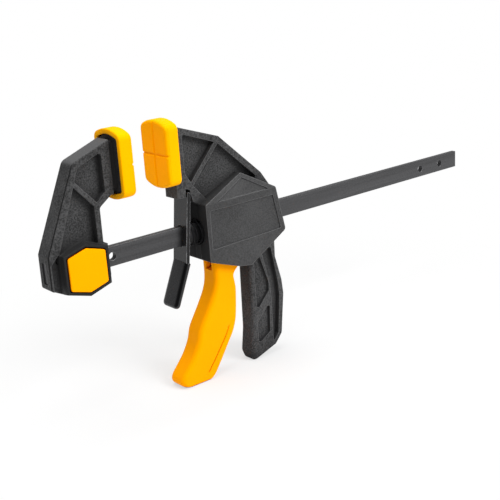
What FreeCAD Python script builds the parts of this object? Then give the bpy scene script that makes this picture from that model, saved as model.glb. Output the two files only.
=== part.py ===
import FreeCAD, Part
import math
import os

# Quick release bar clamp. The bar runs along X, the fixed jaw is at its -X end, the front of the clamp
# faces -Y and +Z is up. The origin is on the surface that the clamp stands on, in the middle of its length
# and width.

# Driving dimensions, in millimetres
overall_length = 586.0
bar_height = 20.0
bar_thickness = 6.0
bar_above_floor = 160.0
jaw_opening = 37.0
pad_above_bar = 87.0
arm_width = 20.0
handle_width = 20.0
housing_width = 39.0

# Fits and gaps
bar_fit = 0.15
seat_fit = 0.10
pin_fit = 0.04
running_gap = 0.4
cut_overrun = 2.0

# Bar: a hole for the lock pin and a second hole at each end
bar_end_inset = 1.2
bar_hole_radius = 4.0
bar_hole_inset = 32.0
bar_hole_spacing = 37.0
bar_edge_radius = 0.8

# Jaw pads: a cap over the arm's end plate, arched above and below
pad_width = 44.0
pad_side_height = 55.0
pad_crown_rise = 6.0
pad_thickness = 14.5
pad_front_wall = 8.5
pad_rim_wall = 5.0
pad_corner_radius = 5.0
pad_pocket_radius = 2.5
pad_face_radius = 2.2
pad_groove_width = 1.6
pad_groove_depth = 1.2
end_plate_thickness = 3.5
neck_width = 13.0

# Jaw arms
arm_top = 112.0
arm_web = 6.5
arm_rim = 5.0
arm_rib = 4.5
pocket_radius = 2.5
arm_edge_radius = 1.2

# Fixed jaw, measured back from the face of its pad and up from the bar's centre line
fixed_arm_depth = 93.5
fixed_corner_radius = 8.0
boss_width = 46.5
boss_apex_height = 50.0
boss_side_height = 36.0
boss_drop = 2.0
boss_shift = 2.25
boss_depth = 33.0
boss_rim = 2.4
boss_draft = 0.8
boss_recess_edge = 2.6
boss_recess_turn = 8.0
collar_end = 29.7
collar_height = 31.0
collar_width = 16.0
bar_side_wall = 2.0

# Lock of the fixed jaw
button_proud = 1.5
button_thickness = 5.0
button_edge_radius = 1.0
lock_pin_radius = 3.6
lock_pin_grip = 4.0
yoke_leg_thickness = 4.0
yoke_leg_width = 8.0
yoke_leg_clear = 1.5
yoke_cross_thickness = 4.0
lock_cover_thickness = 1.9
lock_screw_radius = 1.3
lock_screw_head_radius = 2.3
lock_screw_head_height = 0.9
lock_screw_length = 8.0

# Moving jaw, measured back from the face of its pad and up from the bar's centre line
housing_setback = 41.5
housing_length = 104.0
housing_top = 53.0
housing_bottom = 46.0
housing_skirt = 2.2
housing_split = 8.0
facet_line_height = 30.0
facet_depth = 6.5
facet_recess = 0.9
panel_recess = 1.0
panel_radius = 1.0
frame_width = 24.0
cavity_front_wall = 8.0
cavity_length = 60.0
cavity_top = 31.5
cavity_rear_half_height = 20.0
cavity_mouth_length = 46.0
moving_arm_reach = 123.5
moving_corner_radius = 5.0
brake_block_front = 15.5
brake_block_length = 10.0
brake_block_bottom = 40.5
handle_setback = 88.0
handle_depth = 54.0
handle_corner_radius = 8.0
handle_edge_radius = 4.5
handle_web = 13.0
handle_channel_web = 9.0
channel_radius = 1.2

# Cover screws
screw_radius = 1.5
screw_head_radius = 2.8
screw_head_height = 2.2
screw_tip_gap = 3.0
screw_boss_radius = 3.6
screw_socket_radius = 1.3
screw_socket_depth = 1.4

# Trigger and its pivot
pivot_setback = 18.0
pivot_above_bar = 24.0
pivot_radius = 3.0
pivot_end_gap = 2.6
pivot_boss_radius = 6.0
trigger_hub_radius = 6.5
trigger_width = 24.0
trigger_head_width = 23.4
trigger_fork_gap = 8.4
trigger_fork_reach = 14.0
trigger_nose_drop = 8.0
trigger_wall = 3.0
trigger_front_wall = 5.0
trigger_corner_radius = 30.0
trigger_edge_radius = 4.0
trigger_depth = 84.0
trigger_slot_width = 8.0
trigger_slot_height = 10.0
trigger_slot_rise = 2.0
trigger_rib_thickness = 2.5
trigger_back_reach = 8.0

# Drive plates and their spring
plate_setback = 31.0
plate_thickness = 3.2
plate_width = 22.0
plate_height = 32.0
plate_corner_radius = 2.0
plate_hole_gap = 0.4
drive_wire = 1.6
coil_radius = 12.4
drive_turns = 5

# Brake plate, release grip and brake spring
brake_pivot_ahead = 13.3
brake_pivot_height = 43.0
brake_thickness = 4.0
brake_width = 22.4
brake_tilt = 6.6
brake_hole_gap = 0.6
brake_bend_below_bar = 29.0
brake_shank_length = 39.0
grip_tilt = 23.0
grip_width = 25.4
grip_top_thickness = 6.8
grip_bottom_thickness = 6.4
grip_top_above_bend = 2.5
grip_length = 48.0
grip_end_radius = 2.6
grip_corner_radius = 4.0
grip_edge_radius = 1.1
brake_wire = 1.4
brake_turns = 3
brake_spring_recess = 4.0
brake_spring_gap = 1.2

# Lock spring
lock_wire = 0.8
lock_coil_radius = 4.0
lock_turns = 2

# Ends of every spring: straight for one wire diameter, then a bend into the coil
spring_bend_wires = 1.5

# Share of an edge that a rounded corner may use
corner_limit_share = 0.45

# Shares of the trigger's depth and length that split its finger side from its open back
middle_top_share = 0.80
middle_lean_share = 0.52
middle_bend_share = 0.25
trigger_end_share = 0.03
trigger_open_share = 0.60
trigger_rib_share = 0.45

# Rounds of fitting a spring's end bends, and the points of each turn where its gap is measured
bend_rounds = 12
samples_per_turn = 24

# Places worked out from the dimensions above
left_end = -overall_length / 2
right_end = overall_length / 2
bar_z = bar_above_floor
bar_left = left_end + bar_end_inset
fixed_face_x = left_end + fixed_arm_depth
moving_face_x = fixed_face_x + jaw_opening
pad_z = bar_z + pad_above_bar
lock_x = bar_left + bar_hole_inset
boss_x = lock_x + boss_shift
boss_z = bar_z - boss_drop
housing_x = moving_face_x + housing_setback
housing_z = bar_z - housing_bottom
housing_height = housing_top + housing_bottom
pivot_x = housing_x + pivot_setback
pivot_z = bar_z + pivot_above_bar
cavity_x = housing_x + cavity_front_wall
handle_x = moving_face_x + handle_setback
brake_pivot_x = housing_x - brake_pivot_ahead
brake_pivot_z = bar_z + brake_pivot_height

# Where the front of each arm lies behind the face of its pad, as a share of the arm's reach
fixed_front_share = 0.198
moving_front_share = 0.150

# Outlines as shares of the piece that they belong to: x, z, and the corner's radius
fixed_arm_shares = [
    (1.000, -0.134, 0.4),
    (0.995, 0.152, 0.3),
    (0.620, 0.866, 1.0),
    (fixed_front_share, 1.000, 0.0),
    (fixed_front_share, 0.540, 0.0),
    (0.225, 0.540, 0.2),
    (0.369, 0.455, 0.5),
    (0.372, 0.152, 0.0),
    (0.372, -0.200, 0.3),
    (0.620, -0.250, 0.3),
    (0.850, -0.200, 0.3),
]
fixed_pocket_shares = [
    (0.980, 0.020, 0.0),
    (0.930, 0.152, 0.0),
    (0.615, 0.850, 1.0),
    (0.245, 0.980, 0.0),
    (0.245, 0.560, 0.0),
    (0.385, 0.455, 0.0),
    (0.385, 0.020, 0.0),
]
fixed_rib_shares = [(0.375, 0.455), (0.680, 0.740)]
moving_arm_shares = [
    (0.270, 0.310, 0.3),
    (0.250, 0.420, 0.0),
    (moving_front_share, 0.460, 0.0),
    (moving_front_share, 1.000, 0.0),
    (0.579, 0.840, 0.6),
    (1.000, 0.425, 0.6),
    (1.100, 0.270, 0.0),
    (1.100, 0.050, 0.0),
]
moving_foot_shares = [(0.000, 0.050), (0.000, 0.240)]
moving_pocket_shares = [
    (0.175, 0.985, 0.0),
    (0.575, 0.825, 0.0),
    (1.000, 0.405, 0.0),
    (0.900, 0.270, 0.0),
    (0.400, 0.240, 0.0),
    (0.255, 0.420, 0.0),
    (0.175, 0.560, 0.0),
]
moving_rib_shares = [(0.255, 0.440), (0.579, 0.830)]
housing_shares = [
    (0.000, 0.768, 0.3),
    (0.500, 1.000, 0.6),
    (0.894, 0.778, 0.6),
    (1.000, 0.283, 0.8),
    (0.520, 0.000, 0.5),
    (0.370, 0.026, 0.5),
    (0.010, 0.162, 0.3),
]
panel_shares = [
    (0.050, 0.697, 1.0),
    (0.850, 0.697, 1.0),
    (0.935, 0.313, 1.0),
    (0.050, 0.290, 1.0),
]
facet_shares = [
    (0.145, 0.775, 0.0),
    (0.500, 0.950, 0.0),
    (0.800, 0.775, 0.0),
]
screw_shares = [(0.500, 0.913), (0.862, 0.667), (0.800, 0.263), (0.049, 0.241)]
handle_shares = [
    (0.240, 0.000, 0.0),
    (0.220, 0.180, 0.0),
    (0.195, 0.740, 1.0),
    (0.130, 0.930, 0.9),
    (0.200, 1.000, 0.7),
    (0.290, 1.000, 0.7),
    (0.820, 0.935, 0.6),
    (1.000, 0.855, 0.7),
    (1.105, 0.520, 1.0),
    (1.075, 0.400, 1.0),
    (0.935, 0.190, 0.5),
    (0.945, 0.000, 0.0),
]
handle_upper_pocket_shares = [(0.410, 0.060), (0.680, 0.375), (0.680, 0.450), (0.335, 0.590), (0.335, 0.060)]
handle_lower_pocket_shares = [(0.680, 0.545), (0.650, 0.800), (0.335, 0.870), (0.335, 0.690)]
handle_channel_shares = [(0.790, 0.100), (0.930, 0.400), (0.950, 0.520), (0.870, 0.835), (0.745, 0.890)]
handle_channel_inner_shares = [(0.725, 0.870), (0.735, 0.520), (0.715, 0.400), (0.535, 0.100)]
trigger_shares = [
    (0.632, 0.030, 0.3),
    (0.635, 0.250, 1.0),
    (0.565, 0.370, 1.0),
    (0.398, 0.530, 1.0),
    (0.328, 0.600, 1.0),
    (0.280, 0.705, 1.0),
    (0.175, 0.800, 1.0),
    (0.025, 0.905, 1.0),
    (0.000, 0.955, 0.6),
    (0.115, 1.000, 0.8),
    (0.400, 1.000, 0.8),
    (0.505, 0.965, 0.7),
    (0.865, 0.650, 0.8),
    (0.908, 0.510, 1.0),
    (0.930, 0.310, 0.8),
    (0.890, 0.245, 0.3),
    (1.035, 0.150, 0.2),
    (0.850, 0.040, 0.3),
]


def vector(x, y, z):
    return FreeCAD.Vector(x, y, z)


def unit(direction):
    return direction / direction.Length


def from_shares(shares, start_x, size_x, start_z, size_z, radius=0.0):
    """Corner points (x, z, radius) from a table of shares."""
    points = []
    for row in shares:
        corner = row[2] * radius if len(row) > 2 else radius
        points.append((start_x + row[0] * size_x, start_z + row[1] * size_z, corner))
    return points


def inset(points, distance, radius=0.0):
    """The same outline with every side moved inward by a distance."""
    count = len(points)
    doubled_area = 0.0
    for i in range(count):
        x0, z0 = points[i][:2]
        x1, z1 = points[(i + 1) % count][:2]
        doubled_area += x0 * z1 - x1 * z0
    turn = 1.0 if doubled_area > 0 else -1.0
    lines = []
    for i in range(count):
        x0, z0 = points[i][:2]
        x1, z1 = points[(i + 1) % count][:2]
        length = math.hypot(x1 - x0, z1 - z0)
        along_x = (x1 - x0) / length
        along_z = (z1 - z0) / length
        lines.append((x0 - turn * along_z * distance, z0 + turn * along_x * distance, along_x, along_z))
    moved = []
    for i in range(count):
        ax, az, adx, adz = lines[i - 1]
        bx, bz, bdx, bdz = lines[i]
        cross = adx * bdz - adz * bdx
        reach = ((bx - ax) * bdz - (bz - az) * bdx) / cross
        moved.append((ax + adx * reach, az + adz * reach, radius))
    return moved


def outline(points, level):
    """Closed wire at y = level, with a tangent arc at each corner that has a radius."""
    count = len(points)
    corners = []
    for i, (x, z, radius) in enumerate(points):
        here = vector(x, level, z)
        back = vector(points[i - 1][0], level, points[i - 1][1]) - here
        ahead = vector(points[(i + 1) % count][0], level, points[(i + 1) % count][1]) - here
        half_angle = back.getAngle(ahead) / 2
        reach = radius / math.tan(half_angle)
        reach = min(reach, corner_limit_share * min(back.Length, ahead.Length))
        if radius <= 0.0:
            corners.append((here, None, here))
            continue
        arc_radius = reach * math.tan(half_angle)
        middle_way = unit(unit(back) + unit(ahead))
        middle = here + middle_way * (arc_radius / math.sin(half_angle) - arc_radius)
        corners.append((here + unit(back) * reach, middle, here + unit(ahead) * reach))
    edges = []
    for i, (start, middle, end) in enumerate(corners):
        if middle is not None:
            edges.append(Part.Arc(start, middle, end).toShape())
        next_start = corners[(i + 1) % count][0]
        edges.append(Part.LineSegment(end, next_start).toShape())
    return Part.Wire(edges)


def prism(points, low_y, high_y):
    """Solid between two planes of constant y."""
    face = Part.Face(outline(points, low_y))
    return face.extrude(vector(0, high_y - low_y, 0))


def both_sides(points, inner, outer):
    """The same prism on the front and on the rear side of the middle plane."""
    return prism(points, -outer, -inner).fuse(prism(points, inner, outer))


def block(low, high):
    return Part.makeBox(high[0] - low[0], high[1] - low[1], high[2] - low[2], vector(*low))


def rod_y(x, z, radius, low_y, high_y):
    return Part.makeCylinder(radius, high_y - low_y, vector(x, low_y, z), vector(0, 1, 0))


def rod_x(y, z, radius, low_x, high_x):
    return Part.makeCylinder(radius, high_x - low_x, vector(low_x, y, z), vector(1, 0, 0))


def strip(start, end, width, low_y, high_y):
    """Straight bar of a given width between two points of the XZ plane."""
    length = math.hypot(end[0] - start[0], end[1] - start[1])
    side_x = -(end[1] - start[1]) / length * width / 2
    side_z = (end[0] - start[0]) / length * width / 2
    points = [
        (start[0] + side_x, start[1] + side_z, 0.0),
        (end[0] + side_x, end[1] + side_z, 0.0),
        (end[0] - side_x, end[1] - side_z, 0.0),
        (start[0] - side_x, start[1] - side_z, 0.0),
    ]
    return prism(points, low_y, high_y)


def softened(shape, radius, wanted):
    """Round the edges that a test picks, or leave the shape as it is if none is picked."""
    edges = [edge for edge in shape.Edges if wanted(edge)]
    if not edges:
        return shape
    return shape.makeFillet(radius, edges)


def save(name, shape):
    os.makedirs("parts", exist_ok=True)
    if shape.ShapeType == "Compound" and len(shape.Solids) == 1:
        shape = shape.Solids[0]
    shape.exportStep("parts/" + name + ".step")
    state = "valid" if shape.isValid() else "INVALID"
    print(name, len(shape.Solids), "solid(s)", round(shape.Volume), "mm3", state)


def arc_from(start, tangent, end):
    """Arc that leaves a point along a tangent and reaches another point."""
    chord = end - start
    along = unit(chord)
    off_chord = tangent - along * tangent.dot(along)
    angle = tangent.getAngle(chord)
    rise = chord.Length / 2 * math.tan(angle / 2)
    middle = (start + end) / 2 + unit(off_chord) * rise
    return Part.Arc(start, middle, end).toShape()


def biarc(start, start_tangent, end, end_tangent):
    """Two arcs that join two points with the given tangents at both."""
    span = end - start
    both = start_tangent + end_tangent
    spread = 2 * (1 - start_tangent.dot(end_tangent))
    across = span.dot(both)
    reach = (math.sqrt(across * across + spread * span.dot(span)) - across) / spread
    joint = (start + start_tangent * reach + end - end_tangent * reach) / 2
    first = arc_from(start, start_tangent, joint)
    second = arc_from(end, end_tangent * -1, joint)
    return [first, second]


def coil_spring(name, start, axis, side, length, radius, wire, turns):
    """Helical wire between two parallel faces, its ends straight and square to the faces."""
    up = axis.cross(side)
    bend = spring_bend_wires * wire
    tangent_reach = bend
    pitch = length / turns
    for _ in range(bend_rounds):
        rise_share = pitch / math.hypot(pitch, 2 * math.pi * radius)
        turn_angle = math.acos(rise_share)
        tangent_reach = bend * math.tan(turn_angle / 2)
        end_length = wire + tangent_reach * (1 + rise_share)
        pitch = (length - 2 * end_length) / turns

    def place(angle):
        centre = start + axis * (end_length + pitch * angle / (2 * math.pi))
        return centre + side * (radius * math.cos(angle)) + up * (radius * math.sin(angle))

    def heading(angle):
        around = up * (radius * math.cos(angle)) - side * (radius * math.sin(angle))
        return unit(around + axis * (pitch / (2 * math.pi)))

    first_point = place(0)
    first_bend = first_point - heading(0) * tangent_reach - axis * tangent_reach
    edges = [Part.LineSegment(first_bend - axis * wire, first_bend).toShape()]
    edges.append(arc_from(first_bend, axis, first_point))
    for half_turn in range(2 * turns):
        low = half_turn * math.pi
        high = low + math.pi
        edges.extend(biarc(place(low), heading(low), place(high), heading(high)))
    last_angle = 2 * turns * math.pi
    last_point = place(last_angle)
    last_bend = last_point + heading(last_angle) * tangent_reach + axis * tangent_reach
    edges.append(arc_from(last_point, heading(last_angle), last_bend))
    edges.append(Part.LineSegment(last_bend, last_bend + axis * wire).toShape())
    path = Part.Wire(Part.__sortEdges__(edges))
    section = Part.Wire(Part.makeCircle(wire / 2, first_bend - axis * wire, axis))
    tube = path.makePipeShell([section], True, False)
    samples = [place(2 * math.pi * i / samples_per_turn) for i in range(turns * samples_per_turn + 1)]
    half_turn_on = samples_per_turn // 2
    nearest = min((samples[i] - samples[j]).Length
                  for i in range(len(samples)) for j in range(i + half_turn_on, len(samples)))
    print(name, "least gap between curls", round(nearest - wire, 2), "mm, volume over section times length",
          round(tube.Volume / (math.pi * wire * wire / 4 * path.Length), 3))
    return tube


def bar():
    low = (bar_left, -bar_thickness / 2, bar_z - bar_height / 2)
    high = (right_end, bar_thickness / 2, bar_z + bar_height / 2)
    shape = block(low, high)
    shape = softened(shape, bar_edge_radius, lambda edge: abs(edge.Length - (right_end - bar_left)) < bar_fit)
    for place in (
        bar_left + bar_hole_inset,
        bar_left + bar_hole_inset + bar_hole_spacing,
        right_end - bar_hole_inset - bar_hole_spacing,
        right_end - bar_hole_inset,
    ):
        shape = shape.cut(rod_y(place, bar_z, bar_hole_radius, -bar_thickness, bar_thickness))
    return shape


def bar_passage(low_x, high_x):
    """The space that the bar and its fit need."""
    half_y = bar_thickness / 2 + bar_fit
    half_z = bar_height / 2 + bar_fit
    return block((low_x, -half_y, bar_z - half_z), (high_x, half_y, bar_z + half_z))


def pad_profile(x, shrink):
    """Closed outline of a pad in the plane of constant x: straight sides, an arch above and one below."""
    half_width = pad_width / 2 - shrink
    side = pad_side_height / 2 - shrink
    crown = side + pad_crown_rise
    corners = [
        vector(x, -half_width, pad_z + side),
        vector(x, half_width, pad_z + side),
        vector(x, half_width, pad_z - side),
        vector(x, -half_width, pad_z - side),
    ]
    edges = [
        Part.Arc(corners[0], vector(x, 0, pad_z + crown), corners[1]).toShape(),
        Part.LineSegment(corners[1], corners[2]).toShape(),
        Part.Arc(corners[2], vector(x, 0, pad_z - crown), corners[3]).toShape(),
        Part.LineSegment(corners[3], corners[0]).toShape(),
    ]
    return Part.Face(Part.Wire(edges))


def arched_plate(x, depth, shrink, corner_radius):
    """The pad's outline carried along X, with its four long corners rounded."""
    solid = pad_profile(x, shrink).extrude(vector(depth, 0, 0))
    half_width = pad_width / 2 - shrink
    side = pad_side_height / 2 - shrink

    def is_corner(edge):
        point = edge.CenterOfMass
        return (abs(abs(point.y) - half_width) < seat_fit and abs(abs(point.z - pad_z) - side) < seat_fit
                and abs(edge.Length - abs(depth)) < seat_fit)

    return softened(solid, corner_radius, is_corner)


def jaw_pad(face_x, away):
    """Yellow cap whose face lies at face_x and whose body lies on the away side of it."""
    solid = arched_plate(face_x, away * pad_thickness, 0, pad_corner_radius)
    front_edges = [edge for edge in solid.Edges if abs(edge.BoundBox.XMin - face_x) < bar_fit
                   and abs(edge.BoundBox.XMax - face_x) < bar_fit]
    solid = solid.makeFillet(pad_face_radius, front_edges)
    pocket_x = face_x + away * pad_front_wall
    pocket = arched_plate(pocket_x, away * pad_thickness, pad_rim_wall, pad_pocket_radius)
    solid = solid.cut(pocket)
    half_groove = pad_groove_width / 2
    near_x = face_x - away * cut_overrun
    far_x = face_x + away * pad_groove_depth
    low_x, high_x = min(near_x, far_x), max(near_x, far_x)
    upright = block((low_x, -half_groove, pad_z - pad_side_height),
                    (high_x, half_groove, pad_z + pad_side_height))
    level = block((low_x, -pad_width, pad_z - half_groove), (high_x, pad_width, pad_z + half_groove))
    return solid.cut(upright).cut(level)


def end_plate(face_x, away, arm_front):
    """Plate on the end of an arm that the pad caps, with the neck that runs back into the arm's front."""
    plate = arched_plate(face_x + away * pad_front_wall, away * end_plate_thickness, pad_rim_wall + seat_fit,
                         pad_pocket_radius)
    half_height = pad_side_height / 2 - pad_rim_wall
    low_x, high_x = sorted((face_x + away * (pad_front_wall + end_plate_thickness / 2),
                            face_x + away * (arm_front + arm_rim / 2)))
    neck = block((low_x, -neck_width / 2, pad_z - half_height), (high_x, neck_width / 2, pad_z + half_height))
    return plate.fuse(neck)


def boss_hexagon(shrink, radius=0.0):
    """Six corners of the boss round the lock, drawn in by shrink."""
    half_width = boss_width / 2
    side = boss_side_height / 2
    apex = boss_apex_height / 2
    points = [
        (boss_x - half_width, boss_z - side, 0.0),
        (boss_x - half_width, boss_z + side, 0.0),
        (boss_x, boss_z + apex, 0.0),
        (boss_x + half_width, boss_z + side, 0.0),
        (boss_x + half_width, boss_z - side, 0.0),
        (boss_x, boss_z - apex, 0.0),
    ]
    return inset(points, shrink, radius)


def boss_recess():
    """Outline of the hollow beside the boss: from below the arm up to its lower pocket, inside the rear edge."""
    rear = left_end + boss_recess_edge
    low = boss_z - boss_apex_height / 2
    knee = bar_z + fixed_arm_shares[1][1] * arm_top
    return [
        (rear, low, 0.0),
        (rear, knee - boss_recess_turn, 0.0),
        (rear + boss_recess_turn, knee, 0.0),
        (boss_x, knee, 0.0),
        (boss_x, low, 0.0),
    ]


def lock_well(low_y, high_y):
    return prism(boss_hexagon(boss_rim, pocket_radius), low_y, high_y)


def well_floor():
    return bar_thickness / 2 + bar_fit + bar_side_wall


def yoke_leg_levels():
    """Distances from the bar's centre line to the near and far faces of a yoke leg."""
    near = bar_height / 2 + yoke_leg_clear
    return near, near + yoke_leg_thickness


def cross_piece_levels():
    """Near and far faces of the yoke's cross piece, on the far side of the bar."""
    near = well_floor() + running_gap
    return near, near + yoke_cross_thickness


def fixed_jaw_body():
    half_arm = arm_width / 2
    arm_points = from_shares(fixed_arm_shares, fixed_face_x, -fixed_arm_depth, bar_z, arm_top,
                             fixed_corner_radius)
    arm = prism(arm_points, -half_arm, half_arm)
    arm = softened(arm, arm_edge_radius, lambda edge: abs(abs(edge.CenterOfMass.y) - half_arm) < bar_fit
                   and edge.CenterOfMass.x < fixed_face_x - pad_thickness - arm_rim
                   and edge.BoundBox.YLength < bar_fit)
    pocket_base = from_shares(fixed_pocket_shares, fixed_face_x, -fixed_arm_depth, bar_z, arm_top)
    pockets = both_sides(inset(pocket_base, arm_rim, pocket_radius), arm_web / 2, half_arm + cut_overrun)
    rib_ends = from_shares(fixed_rib_shares, fixed_face_x, -fixed_arm_depth, bar_z, arm_top)
    rib = strip(rib_ends[0], rib_ends[1], arm_rib, -half_arm - cut_overrun, half_arm + cut_overrun)
    body = arm.cut(pockets.cut(rib))
    body = body.cut(both_sides(boss_recess(), well_floor(), half_arm + cut_overrun))
    foot = boss_hexagon(-boss_draft)
    rim = boss_hexagon(0)
    boss = prism(foot, -half_arm, half_arm)
    for side in (-1, 1):
        ends = [outline(foot, side * half_arm), outline(rim, side * boss_depth / 2)]
        boss = boss.fuse(Part.makeLoft(ends, True, True))
    body = body.fuse(boss)
    collar = block((lock_x, -collar_width / 2, bar_z - collar_height / 2),
                   (fixed_face_x - collar_end, collar_width / 2, bar_z + collar_height / 2))
    body = body.fuse([end_plate(fixed_face_x, -1, fixed_front_share * fixed_arm_depth), collar])
    body = body.cut(bar_passage(left_end - cut_overrun, fixed_face_x))
    floor = well_floor()
    body = body.cut(lock_well(-boss_depth / 2 - cut_overrun, -floor))
    body = body.cut(lock_well(floor, boss_depth / 2 + cut_overrun))
    near, far = yoke_leg_levels()
    half_slot = yoke_leg_width / 2 + running_gap
    for side in (-1, 1):
        low_z, high_z = sorted((bar_z + side * (near - running_gap), bar_z + side * (far + running_gap)))
        slot = block((lock_x - half_slot, -boss_depth, low_z), (lock_x + half_slot, boss_depth, high_z))
        body = body.cut(slot)
    body = body.cut(rod_y(lock_x, bar_z, lock_pin_radius + running_gap, 0, boss_depth))
    for x, z in lock_screw_places():
        body = body.cut(rod_y(x, z, lock_screw_radius + pin_fit, 0, boss_depth / 2))
        post = rod_y(x, z, lock_screw_head_radius, floor, boss_depth / 2 - lock_cover_thickness)
        body = body.fuse(post.cut(rod_y(x, z, lock_screw_radius + pin_fit, 0, boss_depth)))
    return body.removeSplitter()


def lock_screw_places():
    """Two screws, one each side of the bar, clear of the cross piece."""
    reach = boss_width / 2 - boss_rim - lock_screw_head_radius - running_gap
    return [(boss_x - reach, boss_z), (boss_x + reach, boss_z)]


def lock_button():
    front = -boss_depth / 2 - button_proud
    solid = prism(boss_hexagon(boss_rim + running_gap, pocket_radius), front, front + button_thickness)
    return softened(solid, button_edge_radius, lambda edge: abs(edge.CenterOfMass.y - front) < bar_fit
                    and edge.BoundBox.YLength < bar_fit)


def button_back():
    return -boss_depth / 2 - button_proud + button_thickness


def lock_yoke():
    near, far = yoke_leg_levels()
    cross_near, cross_far = cross_piece_levels()
    half = yoke_leg_width / 2
    yoke = block((lock_x - half, cross_near, bar_z - far), (lock_x + half, cross_far, bar_z + far))
    for side in (-1, 1):
        low_z, high_z = sorted((bar_z + side * near, bar_z + side * far))
        yoke = yoke.fuse(block((lock_x - half, button_back(), low_z), (lock_x + half, cross_far, high_z)))
    yoke = yoke.cut(rod_y(lock_x, bar_z, lock_pin_radius, 0, boss_depth))
    return yoke.removeSplitter()


def lock_pin():
    cross_near, cross_far = cross_piece_levels()
    tip = bar_thickness / 2 - lock_pin_grip
    pin = rod_y(lock_x, bar_z, lock_pin_radius, tip, cross_far)
    return softened(pin, button_edge_radius, lambda edge: abs(edge.CenterOfMass.y - tip) < bar_fit
                    and edge.BoundBox.YLength < bar_fit)


def lock_cover():
    outer = boss_depth / 2
    plate = prism(boss_hexagon(boss_rim + seat_fit, pocket_radius), outer - lock_cover_thickness, outer)
    for x, z in lock_screw_places():
        plate = plate.cut(rod_y(x, z, lock_screw_radius + seat_fit, 0, boss_depth))
        head_seat = outer - lock_screw_head_height
        plate = plate.cut(rod_y(x, z, lock_screw_head_radius + seat_fit, head_seat, boss_depth))
    return plate


def lock_cover_screws():
    outer = boss_depth / 2
    screws = []
    for x, z in lock_screw_places():
        head = rod_y(x, z, lock_screw_head_radius, outer - lock_screw_head_height, outer)
        shank = rod_y(x, z, lock_screw_radius, outer - lock_screw_length, outer)
        socket = rod_y(x, z, lock_screw_radius / 2, outer - lock_screw_head_height / 2, outer + cut_overrun)
        screws.append(head.fuse(shank).removeSplitter().cut(socket))
    return Part.makeCompound(screws)


def housing_outline(shrink=0.0):
    points = from_shares(housing_shares, housing_x, housing_length, housing_z, housing_height,
                         moving_corner_radius)
    if shrink == 0.0:
        return points
    return inset(points, shrink)


def brake_slot():
    """Slot, open below, that holds the top of the brake plate."""
    half_slot = brake_thickness / 2 + running_gap
    front = moving_face_x + brake_block_front + brake_block_length
    return block((front, -arm_width, brake_pivot_z - arm_width),
                 (brake_pivot_x + half_slot + running_gap, arm_width, brake_pivot_z + half_slot))


def cavity():
    """Room for the mechanism, open below for the trigger."""
    top = bar_z + cavity_top
    rear = cavity_x + cavity_length
    half_rear = cavity_rear_half_height
    mouth = cavity_x + cavity_mouth_length
    below = housing_z - cut_overrun
    points = [
        (cavity_x, below, 0.0),
        (cavity_x, top, pocket_radius),
        (cavity_x + cavity_length / 2, top, pocket_radius),
        (rear, bar_z + half_rear, pocket_radius),
        (rear, bar_z - half_rear, pocket_radius),
        (mouth, bar_z - half_rear - brake_width / 2, pocket_radius),
        (mouth, below, 0.0),
    ]
    return prism(points, -housing_width, housing_width)


def spring_recess():
    """Round recess in the housing's front wall for the end of the brake spring."""
    radius = coil_radius + brake_wire
    return rod_x(0, bar_z, radius, housing_x - cut_overrun, housing_x + brake_spring_recess)


def screw_places():
    points = from_shares(screw_shares, housing_x, housing_length, housing_z, housing_height)
    return [(x, z) for x, z, radius in points]


def handle():
    """Grip with a shallow pocket above and below a slanted rib, and a deep channel along its rear wall."""
    half = handle_width / 2
    top = bar_z - housing_bottom / 2
    length = top
    points = from_shares(handle_shares, handle_x, handle_depth, top, -length, handle_corner_radius)
    grip = prism(points, -half, half)
    grip = softened(grip, handle_edge_radius, lambda edge: abs(abs(edge.CenterOfMass.y) - half) < bar_fit
                    and edge.BoundBox.YLength < bar_fit and edge.CenterOfMass.z < housing_z - arm_rim
                    and edge.CenterOfMass.z > arm_rim)
    for shares in (handle_upper_pocket_shares, handle_lower_pocket_shares):
        pocket = from_shares(shares, handle_x, handle_depth, top, -length, pocket_radius)
        grip = grip.cut(both_sides(pocket, handle_web / 2, half + cut_overrun))
    channel_shares = handle_channel_shares + handle_channel_inner_shares
    channel = from_shares(channel_shares, handle_x, handle_depth, top, -length, channel_radius)
    return grip.cut(both_sides(channel, handle_channel_web / 2, half + cut_overrun))


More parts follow.
